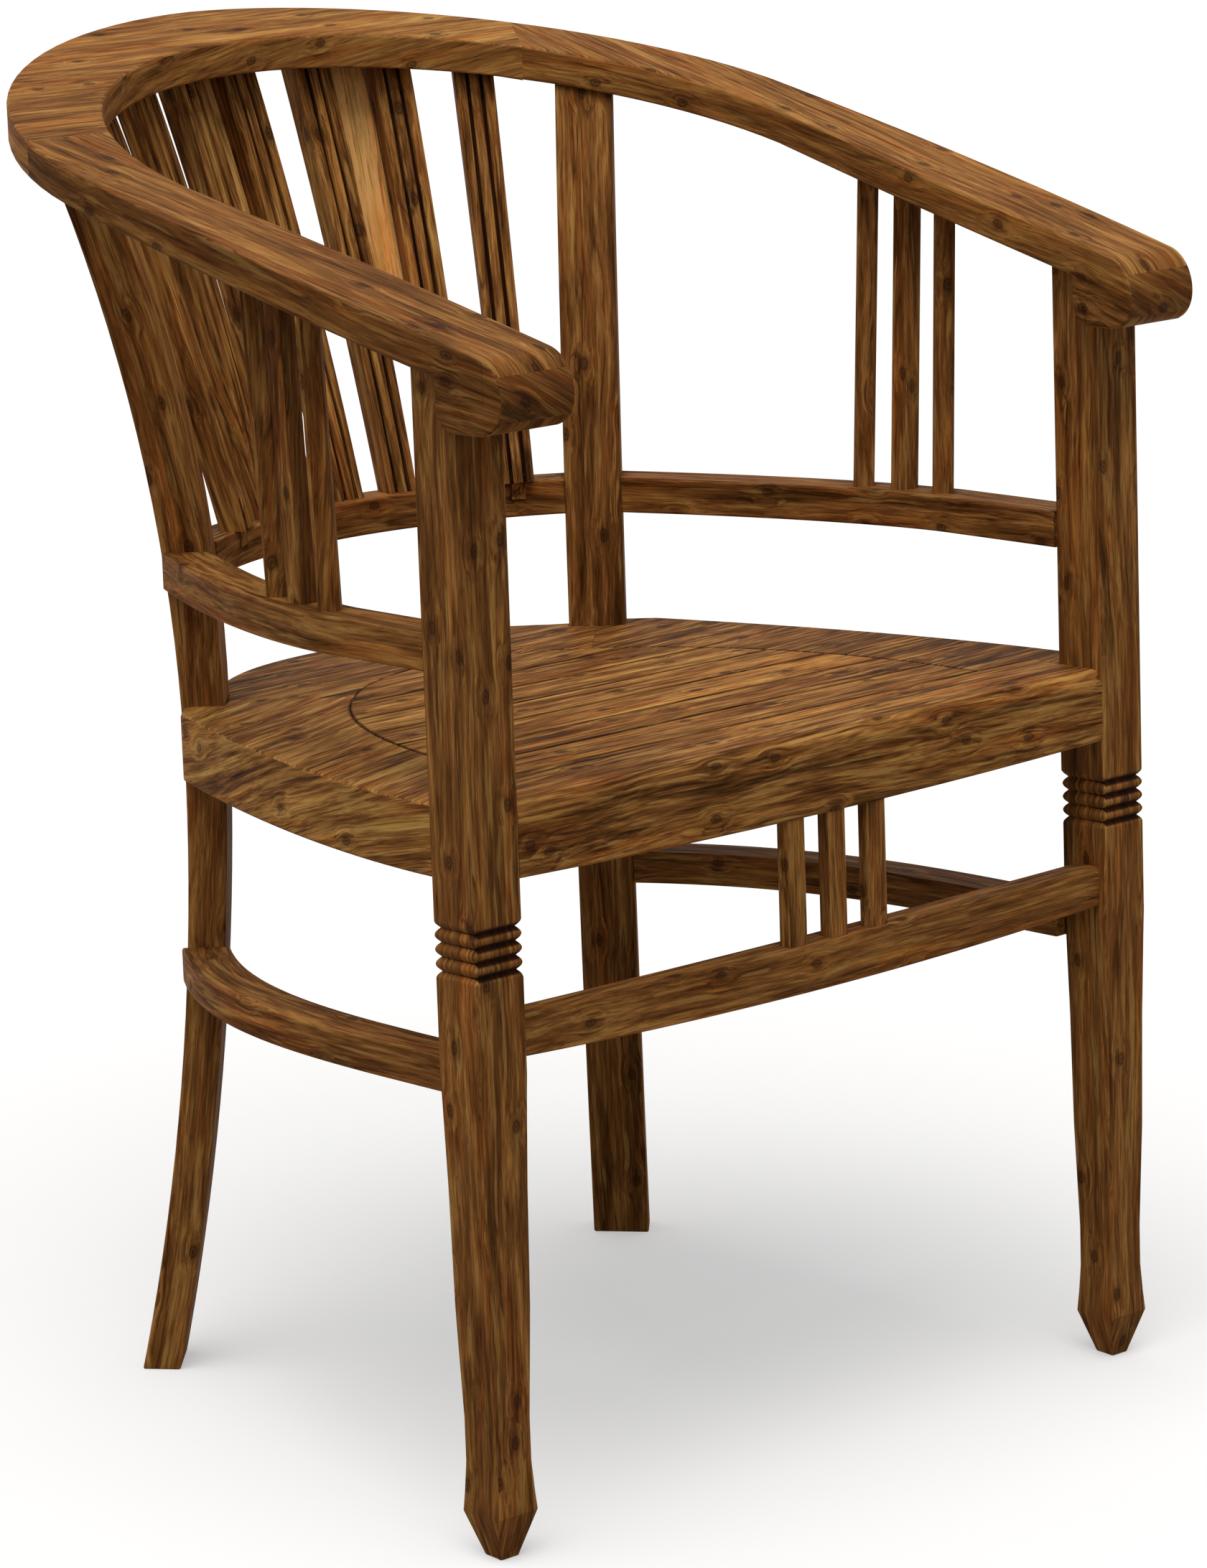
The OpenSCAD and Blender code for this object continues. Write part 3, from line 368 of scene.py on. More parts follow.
def grain_up(p, n):
    """Straight up, each side face with its own figure that grooves and tapers leave in line."""
    q = upright(p)
    if abs(n.x) > abs(n.y):
        return Vector((q.z, q.y, math.copysign(60, n.x)))
    return Vector((q.z, q.x, math.copysign(90, n.y)))


def grain_sideways(turn):
    """Boards that run from side to side, turned a little in plan."""
    c, s = math.cos(math.radians(turn)), math.sin(math.radians(turn))

    def grain(p, n):
        q = upright(p)
        return Vector((q.x * c + q.y * s, -q.x * s + q.y * c, q.z))
    return grain


def grain_sawn(turn, centre, radius, rise):
    """A board sawn to a bend: turned grain on its flat faces, rising grain round its edges."""
    flat = grain_sideways(turn)
    c, s = math.cos(math.radians(rise)), math.sin(math.radians(rise))

    def grain(p, n):
        if abs(n.z) > FACING:
            return flat(p, n)
        q = upright(p)
        bend = math.atan2(q.x, q.y - centre) * radius
        return Vector((bend * c - q.z * s, bend * s + q.z * c, 70))
    return grain


def grain_arm(side):
    """Straight along the top of an arm, along its bend on its sides, and aslant across its nose."""
    pitch = math.radians(RAIL_PITCH)

    def grain(p, n):
        q = upright(p)
        x = q.x * side
        along = q.y * math.cos(pitch) + q.z * math.sin(pitch)
        if abs(n.z) > FACING:
            return Vector((along, x - 0.07 * q.y, 0))
        if n.y < -FACING and q.y < NOSE_REAR:
            c, s = 0.87, 0.5
            return Vector((q.x * c - q.z * s, q.x * s + q.z * c, 150))
        height = q.z * math.cos(pitch) - q.y * math.sin(pitch)
        return Vector((along - 0.5 * x, height, math.copysign(80, n.x)))
    return grain


def grain_round(centre, radius):
    """Round a bend about an upright axis."""
    slope = math.tan(math.radians(RAIL_PITCH))

    def grain(p, n):
        q = upright(p)
        dx, dy = q.x, q.y - centre
        return Vector((math.atan2(dx, dy) * radius, math.hypot(dx, dy), q.z - slope * q.y))
    return grain


def grain_drawn_in(base, start, draw, length, power):
    """Along a side bar at x = base that bends in behind y = start, by draw over length."""
    def grain(p, n):
        q = upright(p)
        share = max(0.0, q.y - start) / length
        bend = draw * share ** power
        slope = draw * power / length * share ** (power - 1)
        across = (abs(q.x) - base + bend) / math.hypot(1, slope)
        return Vector((q.y + 0.4 * bend, across, q.z))
    return grain


def grain_post(side):
    """Up a sabre post, following its bend."""
    def grain(p, n):
        q = upright(p)
        dx, dy = q.x * side - POST_X, q.y - POST_Y
        outward, inward = (dx + dy) / math.sqrt(2), (dy - dx) / math.sqrt(2)
        radius = POST_RADIUS_LOW if q.z < POST_WAIST else POST_RADIUS_HIGH
        return Vector((q.z, outward - (q.z - POST_WAIST) ** 2 / 2 / radius, inward))
    return grain


def grain_slat(k):
    """Up slat k of the fan, following its lean back and to the side."""
    foot = math.radians(SLAT_FOOT_STEP * k)
    # The heads on the sitter's right stand a little nearer to the middle
    nudge = SLAT_HEAD_NUDGE * min(1.0, max(0.0, -k / 1.75))
    head = math.radians(SLAT_HEAD_STEP * k + nudge)
    turn = (foot + head) / 2
    c, s = math.cos(turn), math.sin(turn)
    foot_side = SLAT_FOOT_RADIUS * math.sin(foot - turn) + SLAT_FOOT_SHIFT * c
    head_side = SLAT_HEAD_RADIUS * math.sin(head - turn) + SLAT_HEAD_SHIFT * c
    lean = SLAT_HEAD_RADIUS - SLAT_FOOT_RADIUS

    def grain(p, n):
        q = upright(p)
        rise = (q.z - SLAT_FOOT_Z) / SLAT_RISE
        across = q.x * c - (q.y - FAN_Y) * s - foot_side - (head_side - foot_side) * rise
        through = q.x * s + (q.y - FAN_Y) * c - SLAT_FOOT_RADIUS - lean * rise
        return Vector((q.z, across, through))
    return grain


# Materials


def add(tree, kind, inputs=None, out=0, stops=(), **settings):
    """Adds a node with its settings and links, and gives one of its outputs, or the node itself.

    A socket given for an input is linked and a value is set; a number given for a colour is a
    grey. A colour mix has its factor at input 0, its colours at 6 and 7 and its output at 2.
    """
    node = tree.nodes.new("ShaderNode" + kind)
    for key, value in settings.items():
        setattr(node, key, value)
    for key, value in (inputs or {}).items():
        socket = node.inputs[key]
        if isinstance(value, bpy.types.NodeSocket):
            tree.links.new(value, socket)
        else:
            socket.default_value = (*value, 1) if socket.type == "RGBA" else value
    if stops:
        points = node.color_ramp.elements
        while len(points) < len(stops):
            points.new(0.5)
        for point, (place, colour) in zip(points, stops):
            point.position = place
            point.color = (*colour, 1) if isinstance(colour, tuple) else (colour, colour, colour, 1)
    return node if out is None else node.outputs[out]


def blank_material(name):
    """A new material without nodes."""
    material = bpy.data.materials.new(name)
    material.use_nodes = True
    material.node_tree.nodes.clear()
    return material


def streaks(tree, grain, long_mm, wide_mm, detail, rough=0.55, seed=0.0):
    """Noise drawn out along the grain: streaks about wide_mm across and long_mm long."""
    place = add(tree, "VectorMath", {0: grain, 1: (1 / long_mm, 1 / wide_mm, 1 / wide_mm),
                                     2: (seed, seed * 1.7, seed * 0.6)}, operation="MULTIPLY_ADD")
    return add(tree, "TexNoise", {"Vector": place, "Scale": 1.0, "Detail": detail,
                                  "Roughness": rough}, out="Fac")


def knotted_grain(tree, place, share):
    """Grain that flows round small knots; the given share of the cells has one each.

    Gives the distance from the cell's knot in millimetres, 1 where the cell has one, and the grain.
    """
    along, wide = KNOT_CELL
    axes = add(tree, "SeparateXYZ", {0: place}, out=None).outputs
    side = add(tree, "Math", {0: axes[1], 1: axes[2]}, operation="ADD")
    plane = add(tree, "CombineXYZ", {0: axes[0], 1: side})
    cell = add(tree, "VectorMath", {0: plane, 1: (1 / along, 1 / wide, 0)}, operation="MULTIPLY")
    knots = add(tree, "TexVoronoi", {"Vector": cell, "Scale": 1.0, "Randomness": 0.9}, out=None,
                voronoi_dimensions="2D").outputs
    pick = add(tree, "SeparateColor", {0: knots["Color"]})
    here = add(tree, "Math", {0: pick, 1: share}, operation="LESS_THAN")
    away = add(tree, "VectorMath", {0: cell, 1: knots["Position"]}, operation="SUBTRACT")
    # The long way is shortened, so that knots are longer than wide
    offset = add(tree, "VectorMath", {0: away, 1: (0.6 * along, wide, 0)}, operation="MULTIPLY")
    far = add(tree, "VectorMath", {0: offset}, out="Value", operation="LENGTH")
    # The grain bows out round a knot, up to 13 mm away from it
    near = add(tree, "MapRange", {"Value": far, "From Max": 13.0, "To Min": 1.0, "To Max": 0.0},
               interpolation_type="SMOOTHERSTEP")
    reach = add(tree, "Math", {0: near, 1: here}, operation="MULTIPLY")
    across = add(tree, "SeparateXYZ", {0: offset}, out=1)
    bow = add(tree, "Math", {0: across, 1: -0.62}, operation="MULTIPLY")
    # Slow wander of the grain, some 5 mm to each side
    wander = streaks(tree, place, 230, 70, 1.5, seed=3.1)
    sway = add(tree, "Math", {0: wander, 1: 22, 2: -11}, operation="MULTIPLY_ADD")
    aside = add(tree, "Math", {0: reach, 1: bow, 2: sway}, operation="MULTIPLY_ADD")
    step = add(tree, "CombineXYZ", {1: aside, 2: aside})
    return far, here, add(tree, "VectorMath", {0: place, 1: step}, operation="ADD")


def oiled_teak(name, lift, knots, contrast, red=0.5, olive=0.45):
    """Teak heartwood, sanded or planed along the grain and wiped with oil.

    The oil darkens the growth streaks and leaves a low satin sheen; the open pores show as fine
    dark dashes, small knots turn the streaks aside, and a cut end drinks more oil and goes darker.
    """
    material = bpy.data.materials.get(name)
    if material:
        return material
    finish = bpy.context.scene.armchair_finish
    material = blank_material(name)
    tree = material.node_tree
    place = add(tree, "Attribute", out="Vector", attribute_name="grain")
    tone, end, arris, groove = [add(tree, "Attribute", out="Fac", attribute_name=mark)
                                for mark in ("tone", "end_cut", "arris", "groove")]
    knot_far, knot_here, grain = knotted_grain(tree, place, knots)

    # Growth streaks of three sizes, mixed and spread over the colours of the wood
    broad = streaks(tree, grain, 150, 10, 3.0, 0.6, seed=1.0)
    middle = streaks(tree, grain, 62, 3.2, 3.0, 0.6, seed=5.0)
    fine = streaks(tree, grain, 24, 1.05, 3.0, 0.65, seed=9.0)
    sizes = add(tree, "CombineXYZ", {0: broad, 1: middle, 2: fine})
    mixed = add(tree, "VectorMath", {0: sizes, 1: (0.40, 0.34, 0.26)}, out="Value",
                operation="DOT_PRODUCT")
    crisp = add(tree, "Math", {0: mixed, 1: contrast, 2: 0.5 - 0.5 * contrast + lift},
                operation="MULTIPLY_ADD")
    level = add(tree, "Math", {0: tone, 1: TONE_STEP, 2: crisp}, operation="MULTIPLY_ADD")
    colour = add(tree, "ValToRGB", {0: level}, stops=(
        (0.36, tuple(finish.dark)), (0.45, hex_to_linear("6b431d")),
        (0.51, tuple(finish.heart)), (0.575, hex_to_linear("a57239")),
        (0.67, tuple(finish.light)), (0.85, hex_to_linear("f0b46c"))))

    # What lies over that, in this order, as (way of mixing, amount, colour)
    layers = []
    for long_mm, wide_mm, rough, seed, low, high, amount, how, tint in (
            # Orange-red and grey-green streaks, soft and broad
            (150, 12, 0.55, 13.0, 0.5, 0.66, red, "MULTIPLY", (1.15, 0.78, 0.50)),
            (130, 8, 0.55, 21.0, 0.5, 0.66, olive, "MULTIPLY", (0.88, 0.99, 0.92)),
            # Pale and dark streaks 2 to 4 mm wide and 5 to 9 cm long, each with a crisp edge
            (60, 3.6, 0.5, 51.0, 0.58, 0.66, 0.5 * contrast, "MIX", hex_to_linear("b5894a")),
            (66, 2.8, 0.5, 61.0, 0.57, 0.66, 0.45 * contrast, "MULTIPLY",
             hex_to_linear("8a6648"))):
        noise = streaks(tree, grain, long_mm, wide_mm, 2.0, rough, seed)
        share = add(tree, "MapRange", {"Value": noise, "From Min": low, "From Max": high,
                                       "To Max": amount})
        layers.append((how, share, tint))
    # Dark growth lines about 1 mm wide where a slow noise crosses its middle, broken by gaps
    slow = streaks(tree, grain, 260, 9, 1.0, seed=31.0)
    off = add(tree, "Math", {0: slow, 1: 0.5}, operation="SUBTRACT")
    off = add(tree, "Math", {0: off}, operation="ABSOLUTE")
    line = add(tree, "MapRange", {"Value": off, "From Max": 0.025, "To Min": 0.65, "To Max": 0.0})
    gaps = streaks(tree, grain, 90, 26, 1.0, seed=37.0)
    drawn = add(tree, "MapRange", {"Value": gaps, "From Min": 0.44, "From Max": 0.56})
    line = add(tree, "Math", {0: line, 1: drawn}, operation="MULTIPLY")
    layers.append(("MULTIPLY", line, hex_to_linear("6a4a30")))
    # Pores: dashes 0.7 mm wide and 14 mm long, coarser than real ones so that they show
    dashes = streaks(tree, grain, 14, 0.7, 1.0, seed=41.0)
    pore = add(tree, "MapRange", {"Value": dashes, "From Min": 0.6, "From Max": 0.72,
                                  "To Max": 0.6})
    layers.append(("MULTIPLY", pore, hex_to_linear("8a6a4c")))
    # Knots 5 to 7 mm across: a dark core, a paler ring and a dark rim, over 10 mm of the ramp
    edge = add(tree, "Math", {0: fine, 1: 2.4, 2: knot_far}, operation="MULTIPLY_ADD")
    ring = add(tree, "MapRange", {"Value": edge, "From Min": 1.2, "From Max": 11.2})
    rim = add(tree, "ValToRGB", {0: ring}, stops=(
        (0.0, 0.95), (0.13, 0.55), (0.2, 0.85), (0.32, 0.22), (0.6, 0.0)))
    knot = add(tree, "Math", {0: rim, 1: knot_here}, operation="MULTIPLY")
    layers.append(("MIX", knot, tuple(finish.knot)))
    # A cut end is darker, painted shade in channels, seams and shaded sides darker still, and a
    # rubbed arris a touch paler
    soaked = add(tree, "Math", {0: end, 1: 0.3}, operation="MULTIPLY")
    layers.append(("MULTIPLY", soaked, hex_to_linear("a58a72")))
    painted_shade_share = add(tree, "MapRange", {"Value": groove, "From Min": PAINTED_SHADE_LEVELS[0],
                                      "From Max": PAINTED_SHADE_LEVELS[1]})
    layers.append(("MULTIPLY", painted_shade_share, hex_to_linear("5a4634")))
    rubbed = add(tree, "Math", {0: arris, 1: 0.12}, operation="MULTIPLY")
    layers.append(("SCREEN", rubbed, hex_to_linear("382818")))
    for how, amount, tint in layers:
        colour = add(tree, "Mix", {0: amount, 6: colour, 7: tint}, out=2, data_type="RGBA",
                     blend_type=how)

    # Pale streaks shine a little more than dark ones, and a cut end less
    sheen = add(tree, "MapRange", {"Value": middle, "From Min": 0.3, "From Max": 0.7,
                                   "To Min": 0.78, "To Max": 0.63})
    dull = add(tree, "Math", {0: end, 1: 0.15, 2: sheen}, operation="MULTIPLY_ADD")
    fibres = add(tree, "Math", {0: fine, 1: 0.6}, operation="MULTIPLY")
    height = add(tree, "Math", {0: pore, 1: -0.9, 2: fibres}, operation="MULTIPLY_ADD")
    bump = add(tree, "Bump", {"Strength": 0.35, "Distance": 0.25 * MM, "Height": height})
    surface = add(tree, "BsdfPrincipled", {"Base Color": colour, "Roughness": dull,
                                           "Normal": bump, "IOR": 1.5,
                                           "Specular IOR Level": 0.06})
    add(tree, "OutputMaterial", {"Surface": surface}, out=None)
    return material


def rail_teak():
    """Sanded smooth along its sweep: the warmest and most even of the teak."""
    return oiled_teak("sanded_oiled_teak_rail", lift=0.006, knots=0.8, contrast=0.9)


def leg_teak():
    """Sanded square stock of upright grain: a little darker, with many small knots."""
    return oiled_teak("sanded_oiled_teak_leg", lift=-0.004, knots=0.85, contrast=1.0)


def seat_teak():
    """Sanded flat-sawn boards: bold light and dark streaks and many small knots."""
    return oiled_teak("sanded_oiled_teak_seat", lift=0.006, knots=0.85, contrast=1.4)


def bar_teak():
    """Planed bars and spindles: a little darker, with fewer knots."""
    return oiled_teak("planed_oiled_teak_bar", lift=-0.004, knots=0.7, contrast=1.0)


def slat_teak():
    """Planed and grooved slats: strong streaks that follow the fan."""
    return oiled_teak("planed_dark_teak_slat", lift=0.014, knots=0.45, contrast=1.25, red=0.45)


def pale_teak_painted_lighter():
    """Planed sapwood: pale and golden, with hardly a knot, and lifted far up the ramp as painted
    light, to look lit where it stands in shade behind the fan.
    """
    return oiled_teak("planed_pale_teak", lift=0.28, knots=0.2, contrast=1.2, red=0.9, olive=0.0)


def raw_hardwood():
    """Beech dowels, machined and left raw: pale, even and dull, with faint flutes."""
    name = "machined_raw_beech"
    material = bpy.data.materials.get(name)
    if material:
        return material
    material = blank_material(name)
    tree = material.node_tree
    place = add(tree, "Attribute", out="Vector", attribute_name="grain")
    fleck = streaks(tree, place, 30, 1.2, 2.0, seed=2.0)
    colour = add(tree, "ValToRGB", {0: fleck}, stops=(
        (0.35, hex_to_linear("a98355")), (0.65, hex_to_linear("d2b083"))))
    bump = add(tree, "Bump", {"Strength": 0.3, "Distance": 0.2 * MM, "Height": fleck})
    surface = add(tree, "BsdfPrincipled", {"Base Color": colour, "Roughness": 0.7, "IOR": 1.5,
                                           "Normal": bump})
    add(tree, "OutputMaterial", {"Surface": surface}, out=None)
    return material


def zinc_plate():
    """Steel screws, zinc plated in a barrel: grey, slightly blotched, softly shining."""
    name = "barrel_zinc_plated_steel"
    material = bpy.data.materials.get(name)
    if material:
        return material
    material = blank_material(name)
    tree = material.node_tree
    place = add(tree, "Attribute", out="Vector", attribute_name="grain")
    blotch = streaks(tree, place, 2.0, 2.0, 3.0, seed=4.0)
    colour = add(tree, "ValToRGB", {0: blotch}, stops=(
        (0.35, hex_to_linear("8f8d86")), (0.65, hex_to_linear("b9b6ac"))))
    rough = add(tree, "MapRange", {"Value": blotch, "From Min": 0.3, "From Max": 0.7,
                                   "To Min": 0.42, "To Max": 0.3})
    surface = add(tree, "BsdfPrincipled", {"Base Color": colour, "Roughness": rough,
                                           "Metallic": 1.0})
    add(tree, "OutputMaterial", {"Surface": surface}, out=None)
    return material


# Operators, one for each piece or group of like pieces


class ARMCHAIR_OT_rail(bpy.types.Operator):
    """The sloping horseshoe rail: crest and two arms, with the dowels in their seams"""
    bl_idname = "armchair.rail"
    bl_label = "Horseshoe rail"

    def execute(self, context):
        r = context.scene.armchair_edges.rail

        def paler_to_the_left(p):
            return 0.95 + 0.0036 * upright(p).x
        crest_grain = grain_sawn(turn=2, centre=270, radius=255, rise=-10)
        dress("crest_rail", r, crest_grain, rail_teak(), paler_to_the_left)
        for side, name, tone in ((-1, "arm_right", -0.5), (1, "arm_left", 0.3)):
            # Painted shade on the cut nose and the outer side, so that they are darker than the top
            def depth(p, n, side=side):
                if n.y < -FACING and abs(n.z) < FACING and upright(p).y < NOSE_REAR:
                    return 0.79
                return 0.755 if n.x * side > FACING else 0.0
            dress(name, r, grain_arm(side), rail_teak(), tone, depth=depth)
        dress("crest_dowels", DOWEL_ARRIS, grain_sideways(0), raw_hardwood())
        return {"FINISHED"}


class ARMCHAIR_OT_front_legs(bpy.types.Operator):
    """The two square front legs with their band of four grooves and tapered feet"""
    bl_idname = "armchair.front_legs"
    bl_label = "Front legs"

    def execute(self, context):
        r = context.scene.armchair_edges.leg
        for side, name in ((-1, "front_leg_right"), (1, "front_leg_left")):
            # Painted shade in the band of grooves: the depth below the nearer face, as a share of
            # how deep the grooves are cut
            def depth(p, n, side=side):
                q = upright(p)
                if not GROOVE_BAND[0] < q.z < GROOVE_BAND[1]:
                    return 0.0
                outer = max(abs(q.x - side * LEG_X), abs(q.y))
                return (LEG_HALF_WIDTH - outer) / GROOVE_DEPTH
            dress(name, r, grain_up, leg_teak(), 0.15 * side, depth=depth)
        return {"FINISHED"}


class ARMCHAIR_OT_rear_posts(bpy.types.Operator):
    """The two sabre rear posts that stand cornerwise"""
    bl_idname = "armchair.rear_posts"
    bl_label = "Rear posts"

    def execute(self, context):
        r = context.scene.armchair_edges.leg
        rows = rows_across(Vector((0, 0, 1)), 20, 800, 26)
        for side, name in ((-1, "rear_post_right"), (1, "rear_post_left")):
            dress(name, r, grain_post(side), leg_teak(), -0.2 * side, rows, unbroken=True)
        return {"FINISHED"}


class ARMCHAIR_OT_seat_frame(bpy.types.Operator):
    """The front rail and the side and back boards round the planks, with their dowels"""
    bl_idname = "armchair.seat_frame"
    bl_label = "Seat frame"

    def execute(self, context):
        r = context.scene.armchair_edges.seat
        dress("seat_front_rail", r, grain_sideways(1.5), seat_teak(), least=30)

        def inward(p, n):
            q = upright(p)
            return n.xy.dot(Vector((-q.x, OPENING_Y - q.y)).normalized()) > 0.2

        # Painted shade on the faces that look into the opening, so that the seam with the planks
        # shows dark
        def depth(p, n):
            return 0.85 if inward(p, n) else 0.0
        for name, turn, rise, tone in (("seat_board_right", 19.5, 15, 1.0),
                                       ("seat_board_left", 7, 8, -1.2),
                                       ("seat_board_back", 3, 10, -0.8)):
            grain = grain_sawn(turn, centre=150, radius=270, rise=rise)
            dress(name, r, grain, seat_teak(), tone, depth=depth, seamed=inward)
        dress("seat_frame_dowels", DOWEL_ARRIS, grain_sideways(90), raw_hardwood())
        return {"FINISHED"}


class ARMCHAIR_OT_seat_planks(bpy.types.Operator):
    """The planks that fill the rounded seat opening"""
    bl_idname = "armchair.seat_planks"
    bl_label = "Seat planks"

    def execute(self, context):
        r = context.scene.armchair_edges.plank
        # Turn of the grain in degrees and tone of each plank, from the front
        for i, (turn, tone) in enumerate(((0.0, 0.3), (1.6, -0.2), (-0.8, 0.9), (0.8, 0.1),
                                          (-1.6, 0.6), (0.0, -0.4), (1.6, -0.6)), 1):
            # Every arris gets painted shade, so that the gaps between the planks show as dark lines
            dress("seat_plank_%d" % i, r, grain_sideways(turn), seat_teak(), tone, seam=0.85,
                  seamed=lambda p, n: True)
        return {"FINISHED"}


class ARMCHAIR_OT_seat_battens(bpy.types.Operator):
    """The two battens under the planks and their screws"""
    bl_idname = "armchair.seat_battens"
    bl_label = "Seat battens"

    def execute(self, context):
        r = context.scene.armchair_edges.bar
        for name in ("seat_cleat_right", "seat_cleat_left"):
            dress(name, r, grain_sideways(90), bar_teak(), -0.6)
        dress("cleat_screws", SCREW_ARRIS, grain_sideways(0), zinc_plate())
        return {"FINISHED"}


class ARMCHAIR_OT_stretchers(bpy.types.Operator):
    """The bowed front stretcher and the two side stretchers that bend in behind"""
    bl_idname = "armchair.stretchers"
    bl_label = "Stretchers"

    def execute(self, context):
        r = context.scene.armchair_edges.bar
        dress("stretcher_front", r, grain_sideways(1), bar_teak(), 0.3)
        grain = grain_drawn_in(base=251.5, start=60, draw=68.9, length=289.5, power=2.9)
        rows = rows_across(Vector((0, 1, 0)), 24, 350, 13)
        for name, tone in (("stretcher_right", 0.1), ("stretcher_left", -0.3)):
            dress(name, r, grain, bar_teak(), tone, rows)
        return {"FINISHED"}


class ARMCHAIR_OT_front_spindles(bpy.types.Operator):
    """The three flat spindles between the front stretcher and the seat"""
    bl_idname = "armchair.front_spindles"
    bl_label = "Front spindles"

    def execute(self, context):
        r = context.scene.armchair_edges.slat
        for i in (1, 2, 3):
            dress("front_spindle_%d" % i, r, grain_up, bar_teak(), 0.3 * (2 - i))
        return {"FINISHED"}


class ARMCHAIR_OT_hoop(bpy.types.Operator):
    """The lower hoop rail: two side rails and the back rail"""
    bl_idname = "armchair.hoop"
    bl_label = "Lower hoop rail"

    def execute(self, context):
        r = context.scene.armchair_edges.bar
        grain = grain_drawn_in(base=256, start=115, draw=73.4, length=234.5, power=1.55)
        rows = rows_across(Vector((0, 1, 0)), 24, 360, 13)
        for name, tone in (("hoop_right", 0.1), ("hoop_left", -0.3)):
            dress(name, r, grain, bar_teak(), tone, rows)
        centre = 147
        dress("hoop_back", r, grain_round(centre, radius=277), bar_teak(),
              rows=rows_round(centre, -42, 42, 3))
        return {"FINISHED"}


class ARMCHAIR_OT_side_spindles(bpy.types.Operator):
    """The slim square spindles between the hoop and the arms"""
    bl_idname = "armchair.side_spindles"
    bl_label = "Side spindles"

    def execute(self, context):
        r = context.scene.armchair_edges.slat
        for side, name in ((-1, "right"), (1, "left")):
            for i in (1, 2, 3):
                tone = -0.4 + 0.3 * ((i * 2 + side) % 3)
                dress("spindle_%s_%d" % (name, i), r, grain_up, bar_teak(), tone)
        return {"FINISHED"}


class ARMCHAIR_OT_back_slats(bpy.types.Operator):
    """The fan of grooved back slats and the two short plain ones behind it"""
    bl_idname = "armchair.back_slats"
    bl_label = "Back slats"

    def execute(self, context):
        r = context.scene.armchair_edges.slat
        for i in range(1, 8):
            tone = 0.35 * math.sin(2.4 * i)
            # Painted shade in the slats' grooves, up to 3 mm across
            dress("back_slat_%d" % i, r, grain_slat(i - 4), slat_teak(), tone, channel=3.0)
        for i, gap in ((1, 1.5), (2, -0.5)):
            # The plain ones get tone 0.5 and the pale material as painted light, to look lit in the
            # shade behind the fan
            dress("back_slat_plain_%d" % i, r, grain_slat(gap), pale_teak_painted_lighter(), 0.5)
        return {"FINISHED"}


# The photograph's view of the upright chair: turn, height and roll of the camera in degrees, the
# chair's place right, up and forward of it in millimetres, and its focal length in pixels
VIEW_ANGLES = (42.33, 11.99, -1.99)
VIEW_PLACE = (134.77, -406.88, 3711.49)
VIEW_FOCAL = 8450.5
PHOTO_WIDTH = 1681
SENSOR_WIDTH = 36.0


def seen_straight(tree):
    """1 for a ray from the camera, or one that a mirror or glass sends on, and 0 for others."""
    path = add(tree, "LightPath", out=None).outputs
    sent_on = add(tree, "Math", {0: path["Is Glossy Ray"], 1: path["Is Transmission Ray"]},
                  operation="MAXIMUM")
    return add(tree, "Math", {0: path["Is Camera Ray"], 1: sent_on}, operation="MAXIMUM")


def studio_paper(white):
    """Matt paper on the floor: white to the eye, with a pale shadow of the chair."""
    material = blank_material("matt_white_studio_paper")
    tree = material.node_tree
    # It throws only a little light up under the chair
    colour = add(tree, "Mix", {0: seen_straight(tree), 6: (0.24, 0.235, 0.23), 7: white}, out=2,
                 data_type="RGBA")
    paper = add(tree, "BsdfDiffuse", {"Color": colour})
    # Lit from behind a little, which keeps the shadow pale
    glow = add(tree, "Emission", {"Color": white, "Strength": 1.0})
    camera_ray = add(tree, "LightPath", out="Is Camera Ray")
    amount = add(tree, "Math", {0: camera_ray, 1: 0.4}, operation="MULTIPLY")
    surface = add(tree, "MixShader", {0: amount, 1: paper, 2: glow})
    add(tree, "OutputMaterial", {"Surface": surface}, out=None)
    return material


def photo_view():
    """Where the camera stands and how it is turned, in the row frame."""
    turn, height, roll = (math.radians(v) for v in VIEW_ANGLES)
    forward = Vector((math.sin(turn) * math.cos(height), math.cos(turn) * math.cos(height),
                      -math.sin(height)))
    level_right = Vector((math.cos(turn), -math.sin(turn), 0))
    level_up = level_right.cross(forward)
    right = math.cos(roll) * level_right + math.sin(roll) * level_up
    up = -math.sin(roll) * level_right + math.cos(roll) * level_up
    x, y, z = VIEW_PLACE
    eye = Matrix.Translation(-(x * right + y * up + z * forward) * MM)
    return UPRIGHT.inverted() @ eye @ Matrix((right, up, -forward)).transposed().to_4x4()


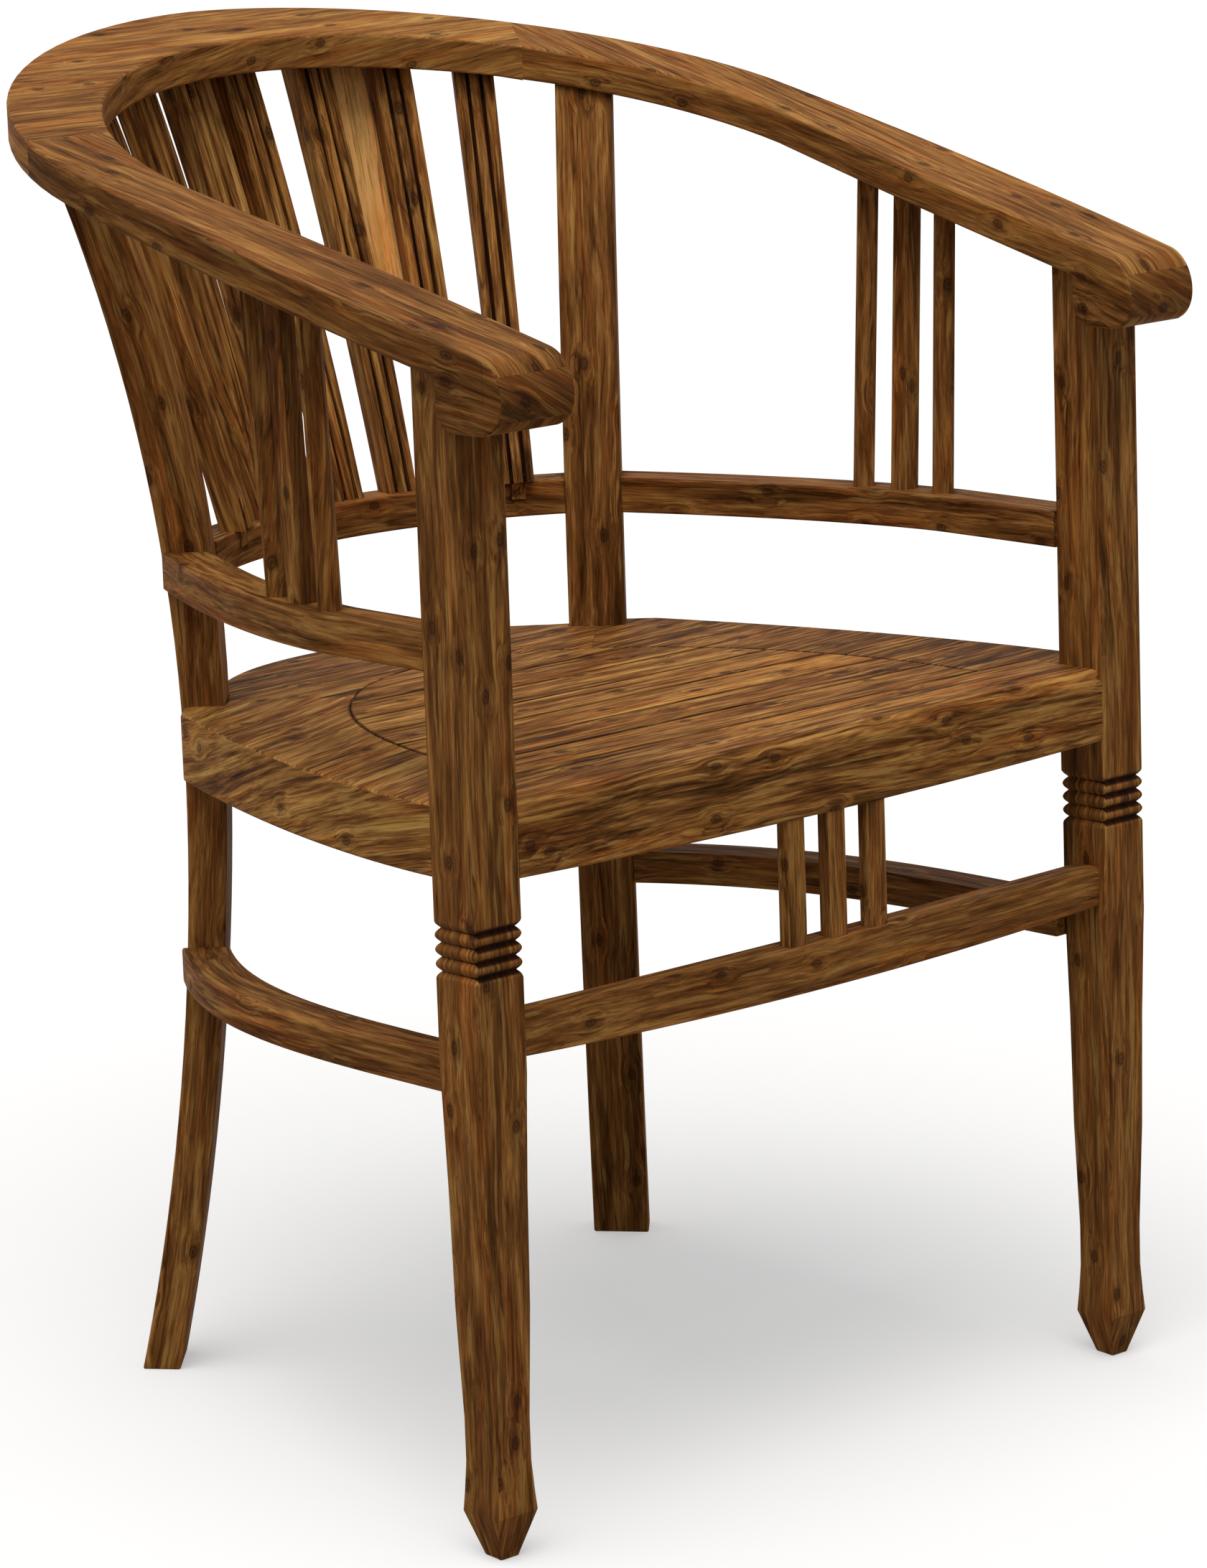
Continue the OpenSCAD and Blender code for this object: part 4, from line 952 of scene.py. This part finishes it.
class ARMCHAIR_OT_stage(bpy.types.Operator):
    """Pale floor, soft studio light and the camera at the photograph's angle"""
    bl_idname = "armchair.stage"
    bl_label = "Stage"

    def execute(self, context):
        scene = context.scene
        stage = scene.armchair_stage
        reach = 60.0
        corners = [(-reach, -reach, 0), (reach, -reach, 0), (reach, reach, 0), (-reach, reach, 0)]
        mesh = bpy.data.meshes.new("studio_floor")
        mesh.from_pydata(corners, [], [(0, 1, 2, 3)])
        mesh.materials.append(studio_paper(tuple(stage.floor)))
        floor = bpy.data.objects.new("studio_floor", mesh)
        scene.collection.objects.link(floor)

        world = bpy.data.worlds.new("soft_studio_fill")
        scene.world = world
        world.use_nodes = True
        tree = world.node_tree
        tree.nodes.clear()
        level = add(tree, "MapRange", {"Value": seen_straight(tree), "To Min": stage.sky})
        fill = add(tree, "Background", {"Color": (1, 1, 1), "Strength": level})
        add(tree, "OutputWorld", {"Surface": fill}, out=None)

        lamp = bpy.data.lights.new("broad_overhead_softbox", "SUN")
        lamp.energy = stage.key * math.pi
        lamp.angle = math.radians(50)
        lamp.color = (1.0, 0.985, 0.965)
        key = bpy.data.objects.new("broad_overhead_softbox", lamp)
        scene.collection.objects.link(key)
        # It shines from above, a little from the sitter's right and from the front
        key.rotation_euler = Vector((-0.26, -0.10, 0.96)).to_track_quat("Z", "Y").to_euler()

        camera_data = bpy.data.cameras.new("photo_camera")
        camera_data.sensor_fit = "HORIZONTAL"
        camera_data.sensor_width = SENSOR_WIDTH
        camera_data.lens = VIEW_FOCAL / PHOTO_WIDTH * SENSOR_WIDTH
        camera_data.clip_end = 200
        camera = bpy.data.objects.new("photo_camera", camera_data)
        scene.collection.objects.link(camera)
        camera.matrix_world = photo_view()
        scene.camera = camera
        scene.view_settings.view_transform = "Standard"
        return {"FINISHED"}


class ARMCHAIR_PT_panel(bpy.types.Panel):
    """Lists the chair's pieces and the stage"""
    bl_idname = "ARMCHAIR_PT_panel"
    bl_label = "Teak armchair"
    bl_space_type = "VIEW_3D"
    bl_region_type = "UI"
    bl_category = "Armchair"

    def draw(self, context):
        scene, layout = context.scene, self.layout
        for settings in (scene.armchair_edges, scene.armchair_finish, scene.armchair_stage):
            box = layout.box()
            for key in settings.bl_rna.properties.keys():
                if key not in ("rna_type", "name"):
                    box.prop(settings, key)
        for operator in OPERATORS:
            layout.operator(operator.bl_idname)


OPERATORS = (
    ARMCHAIR_OT_stage,
    ARMCHAIR_OT_rail,
    ARMCHAIR_OT_front_legs,
    ARMCHAIR_OT_rear_posts,
    ARMCHAIR_OT_seat_frame,
    ARMCHAIR_OT_seat_planks,
    ARMCHAIR_OT_seat_battens,
    ARMCHAIR_OT_stretchers,
    ARMCHAIR_OT_front_spindles,
    ARMCHAIR_OT_hoop,
    ARMCHAIR_OT_side_spindles,
    ARMCHAIR_OT_back_slats,
)
CLASSES = (ArmchairEdges, ArmchairFinish, ArmchairStage) + OPERATORS + (ARMCHAIR_PT_panel,)


def register():
    for cls in CLASSES:
        bpy.utils.register_class(cls)
    bpy.types.Scene.armchair_edges = bpy.props.PointerProperty(type=ArmchairEdges)
    bpy.types.Scene.armchair_finish = bpy.props.PointerProperty(type=ArmchairFinish)
    bpy.types.Scene.armchair_stage = bpy.props.PointerProperty(type=ArmchairStage)


def unregister():
    del bpy.types.Scene.armchair_stage
    del bpy.types.Scene.armchair_finish
    del bpy.types.Scene.armchair_edges
    for cls in reversed(CLASSES):
        bpy.utils.unregister_class(cls)


def main():
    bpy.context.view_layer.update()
    register()
    bpy.ops.armchair.stage()
    bpy.ops.armchair.rail()
    bpy.ops.armchair.front_legs()
    bpy.ops.armchair.rear_posts()
    bpy.ops.armchair.seat_frame()
    bpy.ops.armchair.seat_planks()
    bpy.ops.armchair.seat_battens()
    bpy.ops.armchair.stretchers()
    bpy.ops.armchair.front_spindles()
    bpy.ops.armchair.hoop()
    bpy.ops.armchair.side_spindles()
    bpy.ops.armchair.back_slats()


if __name__ == "__main__":
    main()
